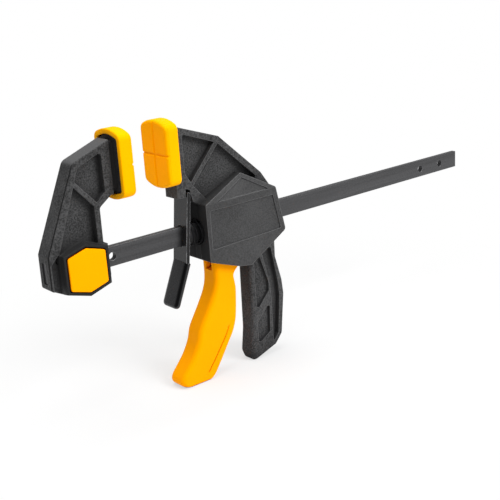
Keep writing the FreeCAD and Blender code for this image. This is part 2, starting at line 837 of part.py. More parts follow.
def moving_jaw_body():
    half_arm = arm_width / 2
    half_frame = frame_width / 2
    foot_x = housing_x + brake_spring_recess
    arm_points = from_shares(moving_arm_shares, moving_face_x, moving_arm_reach, bar_z, arm_top,
                             moving_corner_radius)
    arm_points += from_shares(moving_foot_shares, foot_x, housing_length, bar_z, arm_top)
    arm = prism(arm_points, -half_arm, half_arm)
    arm = softened(arm, arm_edge_radius, lambda edge: abs(abs(edge.CenterOfMass.y) - half_arm) < bar_fit
                   and edge.BoundBox.YLength < bar_fit and edge.CenterOfMass.z > bar_z + housing_top
                   and edge.CenterOfMass.x > moving_face_x + pad_thickness)
    pocket_base = from_shares(moving_pocket_shares, moving_face_x, moving_arm_reach, bar_z, arm_top)
    pockets = both_sides(inset(pocket_base, arm_rim, pocket_radius), arm_web / 2, half_arm + cut_overrun)
    rib_ends = from_shares(moving_rib_shares, moving_face_x, moving_arm_reach, bar_z, arm_top)
    rib = strip(rib_ends[0], rib_ends[1], arm_rib, -half_arm - cut_overrun, half_arm + cut_overrun)
    body = arm.cut(pockets.cut(rib))
    ring = prism(housing_outline(housing_skirt), -half_frame, half_frame)
    land = prism(housing_outline(), -housing_split / 2, housing_split / 2)
    body = body.fuse([ring, land, handle()])
    front = moving_face_x + brake_block_front
    block_low = (front, -half_arm, bar_z + brake_block_bottom)
    block_high = (front + brake_block_length, half_arm, pad_z - pad_side_height / 2 + arm_rim)
    body = body.fuse(block(block_low, block_high))
    body = body.fuse(end_plate(moving_face_x, 1, moving_front_share * moving_arm_reach))
    body = body.cut([cavity(), brake_slot(), spring_recess(),
                     bar_passage(housing_x - cut_overrun, housing_x + housing_length + cut_overrun)])
    for x, z in screw_places():
        body = body.cut(rod_y(x, z, screw_radius + seat_fit, -housing_width, housing_width))
    return body.removeSplitter()


def cover_shell(side):
    """One housing cover on the side of the sign: a bevelled plate with a skirt round the frame."""
    outer = side * housing_width / 2
    split = side * housing_split / 2
    frame_face = side * frame_width / 2
    floor = outer - side * housing_skirt
    low, high = sorted((split, outer))
    shell = prism(housing_outline(), low, high)
    low, high = sorted((split - side * cut_overrun, frame_face))
    shell = shell.cut(prism(housing_outline(housing_skirt), low, high))
    low, high = sorted((frame_face - side * cut_overrun, floor))
    room = prism(housing_outline(housing_skirt + running_gap), low, high)
    ceiling = bar_z + facet_line_height - housing_skirt
    lid = block((housing_x - housing_length, -housing_width, ceiling),
                (housing_x + 2 * housing_length, housing_width, ceiling + housing_height))
    shell = shell.cut(room.cut(lid))
    facet_z = bar_z + facet_line_height
    peak_z = bar_z + housing_top
    slope = facet_depth / (peak_z - facet_z)
    beyond = housing_top
    wedge_points = [
        vector(housing_x - cut_overrun, outer, facet_z),
        vector(housing_x - cut_overrun, outer + side * cut_overrun, facet_z),
        vector(housing_x - cut_overrun, outer + side * cut_overrun, facet_z + beyond),
        vector(housing_x - cut_overrun, outer - side * slope * beyond, facet_z + beyond),
    ]
    wedge = Part.Face(Part.makePolygon(wedge_points + wedge_points[:1]))
    wedge = wedge.extrude(vector(housing_length + 2 * cut_overrun, 0, 0))
    shell = shell.cut(wedge)
    low, high = sorted((outer - side * facet_depth, outer + side * cut_overrun))
    recess = prism(from_shares(facet_shares, housing_x, housing_length, housing_z, housing_height), low, high)
    sunk = wedge.copy()
    sunk.translate(vector(0, -side * facet_recess, 0))
    shell = shell.cut(recess.common(sunk))
    panel = from_shares(panel_shares, housing_x, housing_length, housing_z, housing_height, panel_radius)
    low, high = sorted((outer - side * panel_recess, outer + side * cut_overrun))
    shell = shell.cut(prism(panel, low, high))
    boss_low, boss_high = sorted((frame_face, floor))
    for x, z in screw_places():
        if z < ceiling:
            post = rod_y(x, z, screw_boss_radius, boss_low, boss_high)
            shell = shell.fuse(post.common(prism(housing_outline(), boss_low, boss_high)))
    hub_low, hub_high = sorted((frame_face + side * running_gap, floor))
    shell = shell.fuse(rod_y(pivot_x, pivot_z, pivot_boss_radius, hub_low, hub_high))
    low, high = sorted((0, outer - side * pivot_end_gap))
    shell = shell.cut(rod_y(pivot_x, pivot_z, pivot_radius + pin_fit, low, high))
    half_mouth = trigger_width / 2 + running_gap
    mouth = block((cavity_x, -half_mouth, housing_z - cut_overrun),
                  (cavity_x + cavity_mouth_length, half_mouth, bar_z - cavity_rear_half_height))
    return shell.cut([mouth, spring_recess()])


def front_cover(frame):
    shell = cover_shell(-1).cut(frame)
    for x, z in screw_places():
        end = -housing_width / 2 + screw_tip_gap + facet_fall(z)
        shell = shell.cut(rod_y(x, z, screw_radius + pin_fit, end, housing_width))
    return main_solid(shell)


def rear_cover(frame):
    shell = cover_shell(1).cut(frame)
    outer = housing_width / 2
    for x, z in screw_places():
        seat = screw_seat(z)
        shell = shell.cut(rod_y(x, z, screw_radius + seat_fit, 0, housing_width))
        shell = shell.cut(rod_y(x, z, screw_head_radius + seat_fit, seat, outer + cut_overrun))
    return main_solid(shell)


def facet_fall(z):
    """How far the facet lies below the housing's flat face at a height."""
    facet_z = bar_z + facet_line_height
    slope = facet_depth / (bar_z + housing_top - facet_z)
    return max(0.0, z + screw_head_radius - facet_z) * slope


def screw_seat(z):
    """Level of the face that a screw's head bears on."""
    return housing_width / 2 - screw_head_height - facet_fall(z)


def main_solid(shape):
    """The largest solid of a cut shape, without loose slivers."""
    return max(shape.removeSplitter().Solids, key=lambda solid: solid.Volume)


def cover_screws():
    screws = []
    for x, z in screw_places():
        end = -housing_width / 2 + screw_tip_gap + running_gap + facet_fall(z)
        seat = screw_seat(z)
        top = seat + screw_head_height
        head = rod_y(x, z, screw_head_radius, seat, top)
        shank = rod_y(x, z, screw_radius, end, top)
        socket = rod_y(x, z, screw_socket_radius, top - screw_socket_depth, top + cut_overrun)
        screws.append(head.fuse(shank).removeSplitter().cut(socket))
    return Part.makeCompound(screws)


def trigger_pivot_pin():
    end = housing_width / 2 - pivot_end_gap
    return rod_y(pivot_x, pivot_z, pivot_radius, -end, end)


def trigger():
    """Hollow finger lever: round-fronted, open at the back, with a fork round the bar up to the pivot."""
    half = trigger_width / 2
    tip_x = housing_x - housing_setback
    top = bar_z - bar_height
    points = from_shares(trigger_shares, tip_x, trigger_depth, top, -top, trigger_corner_radius)
    body = prism(points, -half, half)
    body = softened(body, trigger_edge_radius, lambda edge: abs(abs(edge.CenterOfMass.y) - half) < bar_fit
                    and edge.BoundBox.YLength < bar_fit and is_trigger_front(edge, tip_x, top))
    hollow = hollow_of_trigger(points, tip_x, top)
    body = body.cut(hollow)
    head_front = pivot_x - trigger_hub_radius
    nose_x = housing_x + plate_setback - running_gap
    nose_z = bar_z - trigger_nose_drop
    head_points = [
        (head_front, top - arm_rim, 0.0),
        (head_front, pivot_z, 0.0),
        (pivot_x + trigger_hub_radius, pivot_z, 0.0),
        (nose_x - trigger_wall, bar_z, trigger_wall),
        (nose_x, nose_z, trigger_wall / 2),
        (nose_x - trigger_wall, top + trigger_wall, trigger_wall / 2),
        (nose_x - trigger_wall, top - arm_rim, 0.0),
    ]
    half_head = trigger_head_width / 2
    head = prism(head_points, -half_head, half_head)
    head = head.fuse(rod_y(pivot_x, pivot_z, trigger_hub_radius, -half_head, half_head))
    fork = block((head_front - cut_overrun, -trigger_fork_gap / 2, bar_z - trigger_fork_reach),
                 (nose_x + cut_overrun, trigger_fork_gap / 2, bar_z + trigger_fork_reach))
    body = body.fuse(head.cut(fork))
    body = body.cut(rod_y(pivot_x, pivot_z, pivot_radius + pin_fit, -housing_width, housing_width))
    slot_low = housing_z + trigger_slot_rise
    slot = block((head_front - cut_overrun, -trigger_slot_width / 2, slot_low),
                 (head_front + trigger_front_wall, trigger_slot_width / 2, slot_low + trigger_slot_height))
    return main_solid(body.cut(slot))


def is_trigger_front(edge, tip_x, top):
    """Edges along the finger side of the trigger, left of a line down its middle."""
    point = edge.CenterOfMass
    down = (top - point.z) / top
    middle_share = middle_top_share - middle_lean_share * max(0.0, down - middle_bend_share)
    in_front = (point.x - tip_x) / trigger_depth < middle_share
    return in_front and down > trigger_end_share and point.z > seat_fit


def hollow_of_trigger(points, tip_x, top):
    """Space inside the trigger, open at the back, with a stiffening rib left across it."""
    inner = inset(points[1:8] + points[11:14], trigger_front_wall, pocket_radius)
    opened = []
    for x, z, radius in inner:
        share = (x - tip_x) / trigger_depth
        opened.append((x, z, radius if share < trigger_open_share else 0.0))
    half = trigger_width / 2 - trigger_wall
    room = prism(opened, -half, half)
    back = prism([(x + trigger_back_reach, z, 0.0) for x, z, radius in opened], -half, half)
    room = room.fuse(back)
    middle = top * trigger_rib_share
    rib = block((tip_x, -half, middle), (tip_x + trigger_depth, half, middle + trigger_rib_thickness))
    return room.cut(rib)


def drive_plate(order):
    low_x = housing_x + plate_setback + order * plate_thickness
    high_x = low_x + plate_thickness
    half_y = plate_width / 2
    half_z = plate_height / 2
    plate = block((low_x, -half_y, bar_z - half_z), (high_x, half_y, bar_z + half_z))
    plate = softened(plate, plate_corner_radius, lambda edge: abs(edge.Length - plate_thickness) < seat_fit
                     and edge.BoundBox.XLength > plate_thickness / 2)
    hole_y = bar_thickness / 2 + plate_hole_gap
    hole_z = bar_height / 2 + plate_hole_gap
    return plate.cut(block((low_x - cut_overrun, -hole_y, bar_z - hole_z),
                           (high_x + cut_overrun, hole_y, bar_z + hole_z)))


def drive_spring():
    start_x = housing_x + plate_setback + 2 * plate_thickness
    end_x = cavity_x + cavity_length
    return coil_spring("drive_spring", vector(start_x, 0, bar_z), vector(1, 0, 0), vector(0, 1, 0),
                       end_x - start_x, coil_radius, drive_wire, drive_turns)


def brake_plate():
    """Flat steel plate hung by its rounded top, tilted on the bar, its lower end bent into the grip."""
    half = brake_thickness / 2
    half_y = brake_width / 2
    bend_drop = (brake_pivot_height + brake_bend_below_bar) / math.cos(math.radians(brake_tilt))
    plate = block((brake_pivot_x - half, -half_y, brake_pivot_z - bend_drop),
                  (brake_pivot_x + half, half_y, brake_pivot_z))
    plate = plate.fuse(rod_y(brake_pivot_x, brake_pivot_z, half, -half_y, half_y))
    hole_y = bar_thickness / 2 + brake_hole_gap
    hole_z = bar_height / 2 + brake_hole_gap
    middle = brake_pivot_z - brake_pivot_height / math.cos(math.radians(brake_tilt))
    plate = plate.cut(block((brake_pivot_x - half - cut_overrun, -hole_y, middle - hole_z),
                            (brake_pivot_x + half + cut_overrun, hole_y, middle + hole_z)))
    shank = block((-half, -half_y, -brake_shank_length), (half, half_y, 0))
    shank = shank.fuse(rod_y(0, 0, half, -half_y, half_y))
    shank.rotate(vector(0, 0, 0), vector(0, 1, 0), grip_tilt - brake_tilt)
    shank.translate(vector(brake_pivot_x, 0, brake_pivot_z - bend_drop))
    plate = plate.fuse(shank)
    plate.rotate(vector(brake_pivot_x, 0, brake_pivot_z), vector(0, 1, 0), brake_tilt)
    return plate.removeSplitter()


def bend_point():
    """Middle of the brake plate where it bends, at rest."""
    drop = brake_pivot_height + brake_bend_below_bar
    return brake_pivot_x - drop * math.tan(math.radians(brake_tilt)), brake_pivot_z - drop


def release_grip(plate):
    """Plastic sleeve pushed on the lower end of the brake plate."""
    top = grip_top_thickness / 2
    bottom = grip_bottom_thickness / 2
    points = [
        (-top, grip_top_above_bend, 0.0),
        (top, grip_top_above_bend, 0.0),
        (bottom, grip_top_above_bend - grip_length, grip_end_radius),
        (-bottom, grip_top_above_bend - grip_length, grip_end_radius),
    ]
    half_y = grip_width / 2
    end = grip_top_above_bend - grip_length
    sleeve = prism(points, -half_y, half_y)
    sleeve = softened(sleeve, grip_edge_radius, lambda edge: abs(abs(edge.CenterOfMass.y) - half_y) < bar_fit
                      and edge.BoundBox.ZLength > grip_length / 2)
    corner_low = block((-grip_width, -half_y, end), (grip_width, half_y, grip_top_above_bend))
    corner_low = softened(corner_low, grip_corner_radius,
                          lambda edge: abs(edge.CenterOfMass.z - end) < bar_fit
                          and edge.BoundBox.XLength > grip_width)
    sleeve = sleeve.common(corner_low)
    sleeve.rotate(vector(0, 0, 0), vector(0, 1, 0), grip_tilt)
    bend_x, bend_z = bend_point()
    sleeve.translate(vector(bend_x, 0, bend_z))
    return main_solid(sleeve.cut(plate))


def brake_spring():
    tilt = math.radians(brake_tilt)
    plate_rear = brake_pivot_x - (brake_pivot_height - coil_radius) * math.tan(tilt) + brake_thickness / 2
    start_x = plate_rear + brake_spring_gap
    end_x = housing_x + brake_spring_recess
    return coil_spring("brake_spring", vector(start_x, 0, bar_z), vector(1, 0, 0), vector(0, 1, 0),
                       end_x - start_x, coil_radius, brake_wire, brake_turns)


def lock_spring():
    start_y = button_back()
    end_y = -well_floor()
    return coil_spring("lock_spring", vector(lock_x, start_y, bar_z), vector(0, 1, 0), vector(1, 0, 0),
                       end_y - start_y, lock_coil_radius, lock_wire, lock_turns)


frame = moving_jaw_body()
plate = brake_plate()
save("bar", bar())
save("fixed_jaw_body", fixed_jaw_body())
save("fixed_jaw_pad", jaw_pad(fixed_face_x, -1))
save("lock_button", lock_button())
save("lock_yoke", lock_yoke())
save("lock_pin", lock_pin())
save("lock_spring", lock_spring())
save("lock_cover", lock_cover())
save("lock_cover_screws", lock_cover_screws())
save("moving_jaw_body", frame)
save("moving_jaw_pad", jaw_pad(moving_face_x, 1))
save("front_cover", front_cover(frame))
save("rear_cover", rear_cover(frame))
save("cover_screws", cover_screws())
save("trigger", trigger())
save("trigger_pivot_pin", trigger_pivot_pin())
save("drive_plate_first", drive_plate(0))
save("drive_plate_second", drive_plate(1))
save("drive_spring", drive_spring())
save("brake_plate", plate)
save("release_grip", release_grip(plate))
save("brake_spring", brake_spring())
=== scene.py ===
import bpy
import math
import numpy as np
from mathutils import Matrix


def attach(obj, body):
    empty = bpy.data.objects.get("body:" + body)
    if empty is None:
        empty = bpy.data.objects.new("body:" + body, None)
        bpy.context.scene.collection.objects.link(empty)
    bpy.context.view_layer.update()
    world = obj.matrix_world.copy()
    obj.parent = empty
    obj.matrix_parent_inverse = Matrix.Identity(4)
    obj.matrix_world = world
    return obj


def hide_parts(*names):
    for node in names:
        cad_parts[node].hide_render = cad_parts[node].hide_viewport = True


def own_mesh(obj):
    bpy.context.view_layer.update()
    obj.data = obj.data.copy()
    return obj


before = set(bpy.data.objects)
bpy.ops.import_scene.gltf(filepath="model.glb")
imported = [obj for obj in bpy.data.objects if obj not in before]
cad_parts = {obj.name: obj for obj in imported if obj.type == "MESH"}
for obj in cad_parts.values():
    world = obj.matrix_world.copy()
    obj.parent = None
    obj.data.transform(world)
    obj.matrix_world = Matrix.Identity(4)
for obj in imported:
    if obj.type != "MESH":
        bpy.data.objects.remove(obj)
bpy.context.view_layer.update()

MM = 0.001

# Camera at the photograph's viewing angle, in metres
camera_place = (-0.6494, -0.7384, 0.4187)
camera_right = (0.76339581, -0.64275256, -0.06399991)
camera_up = (0.2386611, 0.18860416, 0.95261186)
camera_back = (-0.60022306, -0.74249419, 0.29737966)
camera_lens = 66.68
camera_sensor = 36.0

# Floor, in metres: half its size, and where its own white starts and ends to take over from the shadows
floor_half = 12.0
fade_start = 0.17
fade_end = 0.46
white_share_near = 0.60

# Lights: place, target, size and power of each lamp, and the strength of the light all round
lamps = {
    "key_lamp": ((0.6, -1.6, 1.45), (-0.05, 0.0, 0.15), 1.0, 39.0),
    "top_lamp": ((-0.25, 0.0, 1.15), (-0.1, 0.0, 0.15), 0.8, 10.0),
}
surround_strength = 0.48

# Colours, linear
black_plastic = (0.053, 0.053, 0.054)
# Paler edge colour of black plastic: partly wear, partly painted highlight
black_plastic_worn_highlight = (0.150, 0.150, 0.153)
grip_plastic = (0.011, 0.011, 0.012)
pad_colour = (0.93, 0.408, 0.0)
pad_colour_deep = (0.89, 0.358, 0.0)
yellow_plastic = (1.0, 0.362, 0.0)
yellow_deep = (0.97, 0.312, 0.0)
# Painted shade for the corners and gaps of the yellow parts
yellow_crevice_shade = (0.34, 0.040, 0.0)
pad_crevice_shade = (0.62, 0.150, 0.0)
yellow_gap_shade = (0.10, 0.003, 0.0)
coated_steel = (0.040, 0.040, 0.042)
# Paler edge colour of coated steel: partly bare-metal wear, partly painted highlight
coated_steel_worn_highlight = (0.24, 0.24, 0.25)
spring_black = (0.008, 0.008, 0.009)
bright_steel = (0.55, 0.56, 0.58)
backdrop_white = 0.86
backdrop_seen = 0.70


# Calls that several parts of the scene use

def new_node(tree, kind, **settings):
    """Node added to a tree, with its settings."""
    made = tree.nodes.new(kind)
    for key, value in settings.items():
        setattr(made, key, value)
    return made


def new_object(name, data):
    """Object in the scene's collection that shows the data."""
    made = bpy.data.objects.new(name, data)
    bpy.context.scene.collection.objects.link(made)
    return made


def put_in_place(holder, right, up, back, place):
    """Turn and place an object by its three axes and its origin."""
    turn = np.eye(4)
    turn[:3, 0], turn[:3, 1], turn[:3, 2], turn[:3, 3] = right, up, back, place
    holder.matrix_world = Matrix(turn.tolist())


# Materials

class Finish:
    """Node tree of one material, with short calls for the nodes that every finish uses."""

    def __init__(self, name, edge_radius=0.6 * MM):
        self.edge_radius = edge_radius
        self.eased = None
        self.material = bpy.data.materials.new(name)
        self.material.use_nodes = True
        self.tree = self.material.node_tree
        self.shader = self.tree.nodes["Principled BSDF"]
        self.place = self.node("ShaderNodeTexCoord").outputs["Object"]

    def node(self, kind, **settings):
        return new_node(self.tree, kind, **settings)

    def link(self, output, socket):
        self.tree.links.new(output, socket)

    def stretched(self, scale):
        """Object coordinates scaled along each axis."""
        mapping = self.node("ShaderNodeMapping")
        mapping.inputs["Scale"].default_value = scale
        self.link(self.place, mapping.inputs["Vector"])
        return mapping.outputs["Vector"]

    def noise(self, scale, detail, rough, place=None):
        """Soft noise: size of its lumps, number of finer layers and how much each of them adds."""
        made = self.node("ShaderNodeTexNoise")
        made.inputs["Scale"].default_value = scale
        made.inputs["Detail"].default_value = detail
        made.inputs["Roughness"].default_value = rough
        self.link(place or self.place, made.inputs["Vector"])
        return made.outputs["Fac"]

    def cells(self, scale):
        """Pebbles: distance to the nearest of many scattered points, smoothed."""
        made = self.node("ShaderNodeTexVoronoi", feature="SMOOTH_F1")
        made.inputs["Scale"].default_value = scale
        made.inputs["Smoothness"].default_value = 0.6
        self.link(self.place, made.inputs["Vector"])
        return made.outputs["Distance"]

    def ramp(self, value, low, high, low_at=0.0, high_at=1.0):
        """Values from low to high as the input goes from low_at to high_at."""
        made = self.node("ShaderNodeMapRange", clamp=True)
        made.inputs["From Min"].default_value = low_at
        made.inputs["From Max"].default_value = high_at
        made.inputs["To Min"].default_value = low
        made.inputs["To Max"].default_value = high
        self.link(value, made.inputs["Value"])
        return made.outputs["Result"]

    def sum(self, first, second, share=1.0):
        """First value plus a share of the second."""
        made = self.node("ShaderNodeMath", operation="MULTIPLY_ADD")
        self.link(second, made.inputs[0])
        made.inputs[1].default_value = share
        self.link(first, made.inputs[2])
        return made.outputs["Value"]

    def product(self, first, second):
        made = self.node("ShaderNodeMath", operation="MULTIPLY")
        self.link(first, made.inputs[0])
        self.link(second, made.inputs[1])
        return made.outputs["Value"]

    def openness(self, reach):
        """1 on open faces, falling toward 0 in corners and gaps narrower than the reach."""
        made = self.node("ShaderNodeAmbientOcclusion", samples=8)
        made.inputs["Distance"].default_value = reach
        return made.outputs["AO"]

    def blend_colours(self, factor, first, second):
        """First colour where the factor is 0, second where it is 1."""
        made = self.node("ShaderNodeMix", data_type="RGBA")
        self.link(factor, made.inputs["Factor"])
        for socket, colour in ((made.inputs[6], first), (made.inputs[7], second)):
            if hasattr(colour, "is_output"):
                self.link(colour, socket)
            else:
                socket.default_value = (*colour, 1.0)
        return made.outputs[2]

    def rounded_normal(self):
        """Normal that turns smoothly over a sharp edge, as if the edge had a small radius."""
        if self.eased is None:
            made = self.node("ShaderNodeBevel", samples=6)
            made.inputs["Radius"].default_value = self.edge_radius
            self.eased = made.outputs["Normal"]
        return self.eased

    def edge_wear_highlight(self, low, high):
        """Share of edge wear and painted highlight: 0 on faces, 1 on the edges, where the rounded normal
        leaves the surface's own.
        """
        made = self.node("ShaderNodeVectorMath", operation="DOT_PRODUCT")
        self.link(self.rounded_normal(), made.inputs[0])
        self.link(self.node("ShaderNodeNewGeometry").outputs["Normal"], made.inputs[1])
        return self.ramp(made.outputs["Value"], 1.0, 0.0, low, high)

    def facing(self, direction, low, high):
        """1 where the rounded normal points along a direction, falling to 0 away from it."""
        made = self.node("ShaderNodeVectorMath", operation="DOT_PRODUCT")
        self.link(self.rounded_normal(), made.inputs[0])
        made.inputs[1].default_value = direction
        return self.ramp(made.outputs["Value"], 0.0, 1.0, low, high)

    def near(self, centre, radii):
        """1 inside an ellipsoid round a point, 0 outside it."""
        mapping = self.node("ShaderNodeMapping")
        mapping.inputs["Location"].default_value = tuple(-c / r for c, r in zip(centre, radii))
        mapping.inputs["Scale"].default_value = tuple(1.0 / r for r in radii)
        self.link(self.place, mapping.inputs["Vector"])
        made = self.node("ShaderNodeVectorMath", operation="LENGTH")
        self.link(mapping.outputs["Vector"], made.inputs[0])
        return self.ramp(made.outputs["Value"], 1.0, 0.0, 0.85, 1.0)

    def bump(self, height, strength, depth):
        """Relief of the surface, on top of the rounded edges."""
        made = self.node("ShaderNodeBump")
        made.inputs["Strength"].default_value = strength
        made.inputs["Distance"].default_value = depth
        self.link(height, made.inputs["Height"])
        self.link(self.rounded_normal(), made.inputs["Normal"])
        self.link(made.outputs["Normal"], self.shader.inputs["Normal"])

    def set(self, **values):
        """Plain values of the shader's inputs, with _ for the spaces in their names."""
        for name, value in values.items():
            self.shader.inputs[name.replace("_", " ")].default_value = value


def toned(colour, factor):
    return tuple(factor * c for c in colour)


def moulded_black(name, colour, worn_highlight_colour, grain_scale, grain_strength, gloss, shine, mottling,
                  recess_shade_tone=0.75, corner_reach=6.0 * MM, painted_shade_place=None, slope_sheen_edge_shade=False,
                  shade_side_direction=None, shade_side_tone=0.3):
    """Black moulded plastic: pebbled grain that also mottles the colour, cloudy gloss, paler edges that are
    partly wear and partly painted highlight, and painted shade that darkens and dulls corners and recesses. A
    part can get painted shade round a place (centre, radii) and on the side turned toward one direction; with
    slope_sheen_edge_shade it gets a painted dark line of shade along its outer back edge and a painted sheen
    on its slope."""
    finish = Finish(name, 1.4 * MM)
    # How open the surface is, near and far; these drive the painted shade in corners and recesses below
    corner = finish.openness(corner_reach)
    recess = finish.openness(35.0 * MM)
    mottle = finish.noise(0.50 * grain_scale, 3.0, 0.75)
    cloud = finish.noise(24.0, 4.0, 0.55)
    shade = finish.ramp(finish.sum(mottle, cloud, 0.35), 0.0, 1.0, 0.53, 0.82)
    base = finish.blend_colours(shade, toned(colour, 1.0 - mottling), toned(colour, 1.0 + mottling))
    # Paler edges, kept out of corners: partly wear, partly painted highlight
    rubbed_and_highlit = finish.product(finish.edge_wear_highlight(0.86, 0.995), finish.ramp(corner, 0.0, 1.0, 0.55, 0.80))
    base = finish.blend_colours(rubbed_and_highlit, base, worn_highlight_colour)
    # Painted sheen on the upward slope and a painted dark line of shade along the outer back edge, between
    # the -X and -Y faces
    if slope_sheen_edge_shade:
        painted_slope_sheen = finish.facing((-0.45, 0.0, 0.893), 0.80, 0.98)
        base = finish.blend_colours(painted_slope_sheen, base, toned(colour, 1.7))
        painted_edge_shade = finish.facing((-0.74, -0.67, 0.0), 0.80, 0.90)
        base = finish.blend_colours(painted_edge_shade, base, toned(colour, 0.18))
    # Painted shade round a place
    if painted_shade_place:
        base = finish.blend_colours(finish.near(*painted_shade_place), base, toned(colour, 0.42))
    shine_share = finish.ramp(recess, 0.0, shine, 0.40, 0.95)
    # Painted shade on the side turned toward one direction: darker colour and less shine
    if shade_side_direction:
        shade_side_share = finish.facing(shade_side_direction, 0.84, 0.95)
        base = finish.blend_colours(shade_side_share, base, toned(colour, shade_side_tone))
        shine_share = finish.product(shine_share, finish.ramp(shade_side_share, 1.0, 0.15))
    # Painted shade: colour darkened in recesses and corners
    deep_colour = toned(colour, recess_shade_tone)
    base = finish.blend_colours(finish.ramp(recess, 0.90, 0.0, 0.34, 0.82), base, deep_colour)
    base = finish.blend_colours(finish.ramp(corner, 1.0, 0.0, 0.25, 0.75), base, deep_colour)
    finish.link(base, finish.shader.inputs["Base Color"])
    fine = finish.noise(3.1 * grain_scale, 2.0, 0.6)
    grain = finish.sum(finish.cells(grain_scale), fine, 0.5)
    finish.link(finish.ramp(finish.noise(90.0, 3.0, 0.6), gloss - 0.07, gloss + 0.07, 0.3, 0.7),
                finish.shader.inputs["Roughness"])
    finish.link(shine_share, finish.shader.inputs["Specular IOR Level"])
    finish.bump(grain, grain_strength, 0.25 * MM)
    return finish.material


def moulded_yellow(name, colour, deep_colour, crevice_shade, grain_scale, grain_strength, gloss, corner_top=0.75):
    """Yellow moulded plastic: colour a little deeper in slow clouds and fine mottling, painted shade that
    turns it orange in the corners and dark red in the gaps, very fine grain, soft gloss."""
    finish = Finish(name, 0.8 * MM)
    open_share = finish.openness(5.0 * MM)
    cloud = finish.noise(22.0, 3.0, 0.5)
    mottle = finish.noise(0.25 * grain_scale, 2.0, 0.6)
    shade = finish.ramp(finish.sum(cloud, mottle, 0.35), 0.0, 0.5, 0.45, 0.95)
    base = finish.blend_colours(shade, colour, deep_colour)
    # Painted shade: orange in the corners, dark red in the gaps
    base = finish.blend_colours(finish.ramp(open_share, 1.0, 0.0, 0.30, corner_top), base, crevice_shade)
    base = finish.blend_colours(finish.ramp(open_share, 1.0, 0.0, 0.15, 0.56), base, yellow_gap_shade)
    finish.link(base, finish.shader.inputs["Base Color"])
    grain = finish.sum(finish.noise(grain_scale, 3.0, 0.6), finish.cells(0.4 * grain_scale), 0.4)
    finish.link(finish.ramp(finish.noise(70.0, 3.0, 0.6), gloss - 0.06, gloss + 0.06, 0.3, 0.7),
                finish.shader.inputs["Roughness"])
    finish.bump(grain, grain_strength, 0.12 * MM)
    finish.set(Specular_IOR_Level=0.03, Specular_Tint=(1.0, 0.62, 0.03, 1.0))
    return finish.material


def coated_steel_finish(name, colour, worn_highlight_colour, streak_scale, roughness, shine, edge, minus_y_shade_tone=1.0,
                        reach=5.0 * MM):
    """Dark coated steel: long streaks along the stroke, a fine speckle, bare metal on the edges that is
    partly wear and partly painted highlight, painted shade where other parts come near, and a painted shade
    tone on the side toward -Y."""
    finish = Finish(name, edge)
    streaks = finish.noise(160.0, 5.0, 0.6, finish.stretched(streak_scale))
    speckle = finish.noise(700.0, 3.0, 0.7)
    shade = finish.sum(finish.ramp(streaks, 0.0, 0.6, 0.3, 0.7), finish.ramp(speckle, 0.0, 0.5, 0.35, 0.7))
    base = finish.blend_colours(shade, toned(colour, 0.5), toned(colour, 1.8))
    # Painted shade on the side toward -Y
    if minus_y_shade_tone != 1.0:
        side = finish.facing((0.0, -1.0, 0.0), 0.85, 0.97)
        base = finish.blend_colours(side, base, toned(colour, minus_y_shade_tone))
    open_share = finish.openness(reach)
    # Bare edges, broken by scuffs and kept out of corners: partly wear, partly painted highlight
    scuffs = finish.ramp(finish.noise(120.0, 4.0, 0.7), 0.25, 1.0, 0.35, 0.6)
    rubbed_and_highlit = finish.product(finish.product(finish.edge_wear_highlight(0.80, 0.99), scuffs),
                            finish.ramp(open_share, 0.0, 1.0, 0.60, 0.85))
    base = finish.blend_colours(rubbed_and_highlit, base, worn_highlight_colour)
    # Painted shade where other parts come near, within the reach
    base = finish.blend_colours(finish.ramp(open_share, 1.0, 0.0, 0.25, 0.75), base, toned(colour, 0.3))
    finish.link(base, finish.shader.inputs["Base Color"])
    finish.link(finish.ramp(streaks, roughness - 0.08, roughness + 0.1, 0.3, 0.7),
                finish.shader.inputs["Roughness"])
    finish.bump(finish.sum(streaks, speckle, 0.4), 0.3, 0.06 * MM)
    finish.set(Metallic=0.3, Specular_IOR_Level=shine)
    return finish.material


def bright_steel_finish(name, colour, roughness):
    """Bright plated steel: turned marks and a soft gloss."""
    finish = Finish(name)
    marks = finish.noise(900.0, 4.0, 0.6)
    base = finish.blend_colours(finish.ramp(marks, 0.0, 1.0, 0.3, 0.7), toned(colour, 0.82), colour)
    finish.link(base, finish.shader.inputs["Base Color"])
    finish.link(finish.ramp(marks, roughness - 0.06, roughness + 0.08, 0.3, 0.7),
                finish.shader.inputs["Roughness"])
    finish.bump(marks, 0.15, 0.03 * MM)
    finish.set(Metallic=1.0)
    return finish.material


# Painted shade on the housing front round the brake spring
jaw_black = moulded_black(
    "jaw_black_plastic", toned(black_plastic, 0.83), toned(black_plastic_worn_highlight, 0.75),
    grain_scale=1300.0, grain_strength=0.6, gloss=0.52, shine=0.12, mottling=0.70,
    painted_shade_place=((-0.120, 0.0, 0.155), (0.024, 0.030, 0.048)))
# Painted shade round the lock button's boss, a painted sheen on the arm's slope and a painted dark line of
# shade along its outer back edge
fixed_black = moulded_black(
    "fixed_black_plastic", toned(black_plastic, 0.77), toned(black_plastic_worn_highlight, 0.60),
    grain_scale=1300.0, grain_strength=0.6, gloss=0.52, shine=0.11, mottling=0.70, recess_shade_tone=0.80,
    painted_shade_place=((-0.260, -0.022, 0.162), (0.036, 0.018, 0.040)), slope_sheen_edge_shade=True)
# Painted shade on the cover's sides toward -X
cover_black = moulded_black(
    "cover_black_plastic", toned(black_plastic, 0.76), toned(black_plastic_worn_highlight, 0.85),
    grain_scale=1700.0, grain_strength=0.45, gloss=0.46, shine=0.18, mottling=0.40, recess_shade_tone=0.55,
    corner_reach=2.2 * MM, shade_side_direction=(-1.0, 0.0, 0.0), shade_side_tone=0.6)
